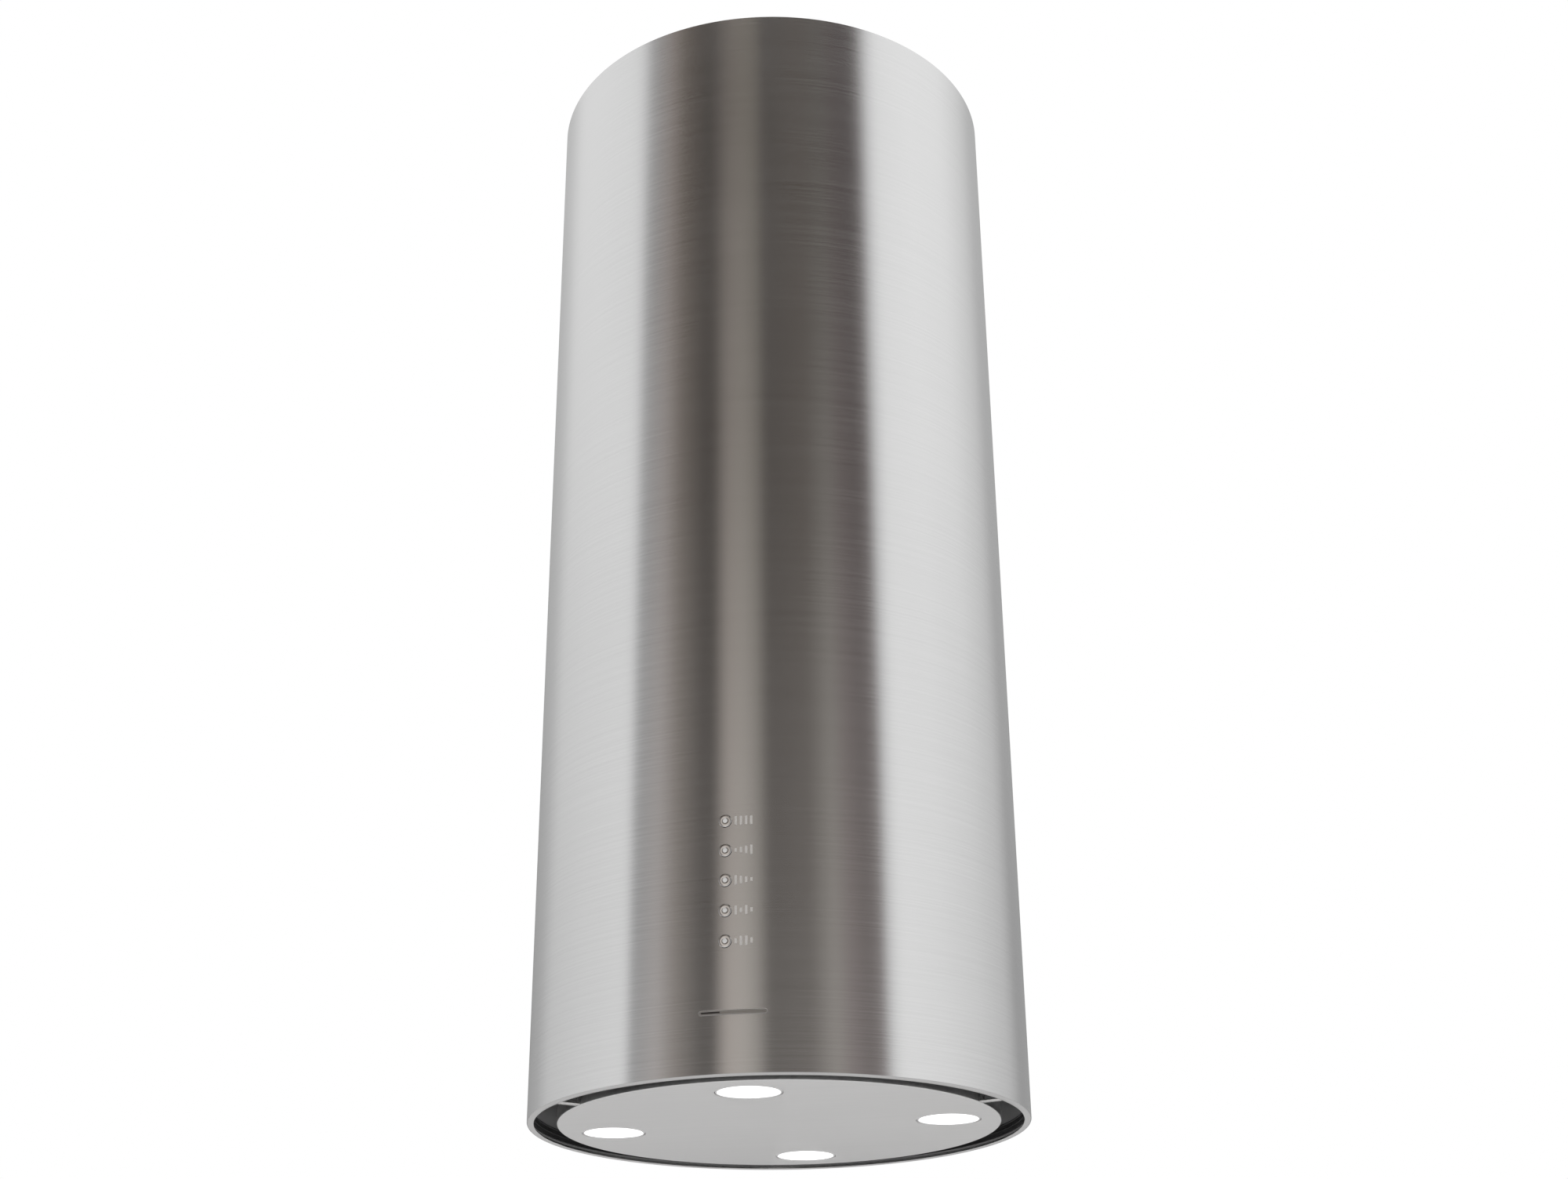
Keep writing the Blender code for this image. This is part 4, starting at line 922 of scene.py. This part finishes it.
def make_filter_mesh():
    """Woven aluminium wires over the filter's pad, seen from below, on a pleated core."""
    low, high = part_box("filter_mesh")
    radius = high.x
    visible = radius - 10.5 * MM
    core_base = low.z + 2.2 * MM
    rings = 30
    profile = [(0, high.z), (radius, high.z), (radius, core_base)]
    for i in range(rings):
        r = visible * (rings - i) / (rings + 1)
        profile.append((r, core_base + (0.9 * MM if i % 2 else 0)))
    profile.append((0, core_base))
    shape = bmesh.new()
    lathe(shape, profile, ROUND)
    core = mesh_from("filter_core", shape)
    place_piece("filter_core", core, ALUMINIUM, FIXED, "filter_mesh")
    pitch = 4.6 * MM
    wire = 0.45 * MM
    wave = 0.5 * MM
    middle = low.z + 1.1 * MM
    weave = bmesh.new()
    section = ring_section(wire, 4)
    count = int(visible / pitch)
    for direction in (0, 1):
        for i in range(-count, count + 1):
            offset = i * pitch
            reach = math.sqrt(visible**2 - offset**2)
            samples = max(2, 2 * int(reach / pitch))
            route = []
            for k in range(samples + 1):
                along = -reach + 2 * reach * k / samples
                lift = wave * math.cos(math.pi * (along / pitch + i + direction))
                point = Vector((along, offset, middle + lift))
                across = Vector((0, 1, 0))
                if direction:
                    point.x, point.y = point.y, point.x
                    across = Vector((1, 0, 0))
                route.append((point, across, ABOVE))
            swept(weave, section, route)
    turn = Matrix.Rotation(math.radians(bearing_of("filter_latch")), 4, "Z")
    bmesh.ops.transform(weave, matrix=turn, verts=weave.verts)
    mesh = mesh_from("filter_weave", weave, 60)
    place_piece("filter_weave", mesh, ALUMINIUM, FIXED)


def make_rivets():
    """Domed rivets round the filter's channel frame."""
    low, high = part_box("filter_mesh")
    base = low.z - 1.5 * MM
    ring = high.x - 4 * MM
    dome = 2 * MM
    shape = bmesh.new()
    profile = [(0, base - 0.8 * MM), (0.5 * dome, base - 0.65 * MM), (0.85 * dome, base - 0.3 * MM)]
    profile += [(dome, base + 0.1 * MM), (0, base + 0.1 * MM)]
    count = 12
    for i in range(count):
        turn = 360 * (i + 0.5) / count
        place = Matrix.Translation(around(turn, ring, -RIM_Z))
        lathe(shape, profile, SMALL, place)
    mesh = mesh_from("filter_rivets", shape)
    place_piece("filter_rivets", mesh, SPRING_STEEL, FIXED)


def make_handle():
    """Wire bail of the filter: one smooth round wire with bent ends that turn in their bearings."""
    low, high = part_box("filter_handle")
    bearing = math.radians(bearing_of("filter_handle"))
    wire = 1.3 * MM
    middle = (low + high) / 2
    half = (high - low).xy.length / 2 - wire * math.sqrt(2) - 0.2 * MM
    axis_z = high.z - wire
    drop = high.z - low.z - 2 * wire
    inside = half - 7 * MM
    corner = 2.5 * MM
    flat = [(-half, 0)]
    flat += bend((-inside - corner, -corner), corner, 90, 0)
    flat += bend((-inside + corner, corner - drop), corner, 180, 270)
    flat += [(-x, z) for x, z in reversed(flat)]
    side = Vector((math.cos(bearing), math.sin(bearing), 0))
    out = Vector((math.sin(bearing), -math.cos(bearing), 0))
    centre = Vector((middle.x, middle.y, axis_z))
    route = []
    for i, (x, z) in enumerate(flat):
        before, after = flat[max(i - 1, 0)], flat[min(i + 1, len(flat) - 1)]
        along = (side * (after[0] - before[0]) + Vector((0, 0, after[1] - before[1]))).normalized()
        route.append((centre + side * x + Vector((0, 0, z)), out, along.cross(out)))
    shape = bmesh.new()
    swept(shape, ring_section(wire, 12), route)
    mesh = mesh_from("handle_wire", shape, 50)
    place_piece("handle_wire", mesh, SPRING_STEEL, "handle", "filter_handle")


# ------------------------------------------------------------------ inside of the hood


def frame_screws():
    """Screw heads on the angles' feet and through the nested angles."""
    feet, joints = [], []
    inset = 6 * MM
    leg = 22 * MM
    foot_sheet = 2 * MM
    for corner in CORNERS:
        for which in ("lower", "upper"):
            low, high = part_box(which + "_angle_" + corner)
            middle = (low + high) / 2
            side = Vector((math.copysign(1, middle.x), math.copysign(1, middle.y), 0))
            far_x = max(abs(low.x), abs(high.x)) - inset
            far_y = max(abs(low.y), abs(high.y)) - inset
            on_foot = low.z + foot_sheet if which == "lower" else high.z - foot_sheet
            facing = (0, 0, 1) if which == "lower" else (0, 0, -1)
            for x, y in ((far_x, far_y - leg), (far_x - leg, far_y)):
                feet.append((Vector((side.x * x, side.y * y, on_foot)), facing))
        low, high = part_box("lower_angle_" + corner)
        face = max(abs(low.x), abs(high.x)) - leg / 2
        bolt = face - leg / 2
        for drop in (14 * MM, 62 * MM):
            z = high.z - drop
            joints.append((Vector((side.x * face, side.y * bolt, z)), (side.x, 0, 0)))
            joints.append((Vector((side.x * bolt, side.y * face, z)), (0, side.y, 0)))
    make_screws("frame_foot_screws", feet, 3.4 * MM)
    make_screws("frame_bolts", joints, 4 * MM)


def round_screws(name, count, ring, z, facing, radius, start):
    """A ring of screw heads round the hood's axis."""
    spots = []
    for i in range(count):
        point = around(start + 360 * i / count, ring, 0)
        point.z = z
        spots.append((point, facing))
    make_screws(name, spots, radius)


def box_screws():
    """Screws at the corners of the control box's lid."""
    low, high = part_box("control_box_lid")
    inset = 5 * MM
    corners = [(x, y) for x in (low.x + inset, high.x - inset) for y in (low.y + inset, high.y - inset)]
    make_screws("lid_screws", [(Vector((x, y, high.z)), (0, 0, 1)) for x, y in corners], 2.4 * MM)


def beside(node, ring, step):
    """Two screw places under a pressed part, a step to either side of its middle on a ring."""
    turn = math.radians(bearing_of(node))
    side = Vector((math.cos(turn), math.sin(turn), 0))
    middle = around(bearing_of(node), ring, 0)
    middle.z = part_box(node)[1].z - PRESSED_SHEET
    return [(middle + side * way * step, (0, 0, -1)) for way in (-1, 1)]


def rim_screws():
    """Screws that hold the hinge bracket and the latch strap, and rivets in the spring clips."""
    spots = beside("hinge_bracket", 170.5 * MM, 8 * MM)
    spots += beside("latch_strap", box_centre("latch_strap").xy.length, 17.7 * MM)
    make_screws("rim_screws", spots, 2.2 * MM)
    rivets = []
    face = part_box("base_ring")[1].x - 2.5 * MM
    for clip in ("spring_clip_left", "spring_clip_right"):
        outwards = around(bearing_of(clip), 1, -RIM_Z)
        for drop in (7 * MM, 17 * MM):
            point = outwards * face
            point.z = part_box(clip)[1].z - drop
            rivets.append((point, -outwards))
    make_screws("clip_rivets", rivets, 1.9 * MM)


def lamp_branch(shape, name):
    """Adds one lamp's short wire from the harness up into its can."""
    can = box_centre("lamp_can_" + name)
    lens_low, lens_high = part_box("lamp_lens_" + name)
    wall = (lens_high.x - lens_low.x) / 2 + CAN_MARGIN
    outwards = Vector((can.x, can.y, 0)).normalized()
    across = Vector((-outwards.y, outwards.x, 0))
    start = can.xy.length - wall - 6.2 * MM
    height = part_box("lamp_can_" + name)[0].z + 4.6 * MM
    route = []
    for along, lift in ((0, 0), (1.5, 0.4), (3, 1.6), (4.5, 2.6), (6.1, 3)):
        point = outwards * (start + along * MM) + ABOVE * (height + lift * MM)
        route.append((point, across, ABOVE))
    swept(shape, ring_section(WIRE_RADIUS, 12), route)


def harness_fittings():
    """Each lamp's branch, and the last stretch of wire from a crimp on the harness to the rear lamp."""
    branches = bmesh.new()
    for name in LAMPS:
        lamp_branch(branches, name)
    harness_low, harness_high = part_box("lamp_harness")
    loop = harness_high.x - CABLE_RADIUS
    floor = harness_low.z - RIM_Z + CABLE_RADIUS
    tail = bmesh.new()
    swept(tail, ring_section(WIRE_RADIUS, 12), arc_route(155, 180.8, loop, floor, 20))
    crimp = bmesh.new()
    swept(crimp, ring_section(2.4 * MM, 24), arc_route(152.5, 158.5, loop, floor + 0.4 * MM, 6))
    for name, shape, look, slot in (
        ("lamp_branches", branches, CABLE_GREY, "cable_grey"),
        ("rear_lamp_wire", tail, CABLE_GREY, "cable_grey"),
        ("harness_crimp", crimp, RUBBER_AND_RIM_SHADE, "black_plastic"),
    ):
        place_piece(name, mesh_from(name, shape, 50), look, SWINGING)


def lead_bushes():
    """Rubber bushes where the three leads go into the control box."""
    low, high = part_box("control_box")
    switch_x = box_centre("switch_lead").x
    make_grommet("lamp_lead_bush", Vector((low.x, -128 * MM, up(374 * MM))), (1, 0, 0))
    make_grommet("motor_lead_bush", Vector((high.x, -124 * MM, up(388 * MM))), (1, 0, 0))
    make_grommet("switch_lead_bush", Vector((switch_x, low.y, up(380 * MM))), (0, 1, 0))


# ------------------------------------------------------------------ lamp panel


def make_panel():
    """Flush round panel: rolled edge, open pan above, and four lamp holes."""
    low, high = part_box("bottom_panel")
    radius = high.x
    base = low.z - RIM_Z
    top = high.z - RIM_Z
    sheet = 1 * MM
    floor = base + sheet
    inside = radius - sheet
    chamfer = 0.3 * MM
    edge = 0.8 * MM
    lip = sheet / 2
    profile = [(0, floor), (inside - chamfer, floor), (inside, floor + chamfer)]
    profile += bend((radius - lip, top - lip), lip, 180, 0)
    profile += bend((radius - edge, base + edge), edge, 0, -90, 8)
    profile.append((0, base))
    shape = bmesh.new()
    lathe(shape, raised(profile), FINE)
    panel = place_piece(
        "panel", mesh_from("panel", shape), None, SWINGING, "bottom_panel"
    )
    holes = bmesh.new()
    for name in LAMPS:
        low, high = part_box("lamp_lens_" + name)
        middle = (low + high) / 2
        radius = (high.x - low.x) / 2 + 2.1 * MM
        made = bmesh.ops.create_cone(
            holes, cap_ends=True, segments=64, radius1=radius, radius2=radius, depth=20 * MM
        )["verts"]
        bmesh.ops.translate(holes, vec=middle, verts=made)
    cut_with(panel, holes, "panel_cutter")
    panel.data.materials.append(PANEL_STEEL)


def make_lamp(name):
    """Flush lamp: a polished can with a flange inside the panel, and a slightly domed glowing lens."""
    can_low, can_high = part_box("lamp_can_" + name)
    lens_low, lens_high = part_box("lamp_lens_" + name)
    middle = (can_low + can_high) / 2
    flange = (can_high.x - can_low.x) / 2
    lens = (lens_high.x - lens_low.x) / 2
    mouth = can_low.z
    top = can_high.z
    can = lens + CAN_MARGIN
    sheet = PRESSED_SHEET
    flange_base = mouth + 1.4 * MM
    bore = lens + 0.3 * MM
    profile = [(0, top), (can - 1.5 * MM, top), (can - 0.4 * MM, top - 0.4 * MM), (can, top - 1.5 * MM)]
    profile += [(can, flange_base + sheet), (flange - 0.3 * MM, flange_base + sheet)]
    profile += [(flange, flange_base + sheet - 0.3 * MM), (flange, flange_base), (can, flange_base)]
    profile += [(can, mouth + 0.4 * MM), (can - 0.3 * MM, mouth + 0.1 * MM), (can - 0.8 * MM, mouth)]
    profile += [(bore + 0.4 * MM, mouth), (bore + 0.1 * MM, mouth + 0.1 * MM), (bore, mouth + 0.4 * MM)]
    profile += [(bore, top - sheet), (0, top - sheet)]
    place = Matrix.Translation((middle.x, middle.y, 0))
    shape = bmesh.new()
    lathe(shape, profile, ROUND, place)
    mesh = mesh_from("lamp_" + name, shape)
    place_piece("lamp_" + name, mesh, EDGE_STEEL, SWINGING, "lamp_can_" + name)
    glass = bmesh.new()
    bottom = lens_low.z
    profile = [(0, lens_high.z), (lens, lens_high.z), (lens, bottom + 0.9 * MM)]
    profile += [(lens - 0.3 * MM, bottom + 0.55 * MM), (lens * 0.8, bottom + 0.25 * MM)]
    profile += [(lens * 0.45, bottom + 0.06 * MM), (0, bottom)]
    lathe(glass, profile, ROUND, place)
    mesh = mesh_from("lens_" + name, glass, 40)
    place_piece("lens_" + name, mesh, LENS, SWINGING, "lamp_lens_" + name)


make_camera()
make_studio()
make_floor()
dress_cad_nodes()
make_tube()
for button_name in BUTTONS:
    make_button(button_name)
make_marks()
make_badge()
make_panel()
for lamp_name in LAMPS:
    make_lamp(lamp_name)
make_base_ring()
make_rim_strip()
for part_name in SOFTENED_PARTS:
    softened(part_name)
make_filter_mesh()
make_rivets()
make_handle()
frame_screws()
collar_flange_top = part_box("outlet_collar")[0].z + PRESSED_SHEET
ring_plate_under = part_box("base_ring")[1].z - PRESSED_SHEET
round_screws("collar_screws", 6, 84 * MM, collar_flange_top, (0, 0, 1), 2.4 * MM, start=30)
round_screws("casing_screws", 8, 175.5 * MM, ring_plate_under, (0, 0, -1), 2.6 * MM, start=22.5)
box_screws()
rim_screws()
harness_fittings()
lead_bushes()
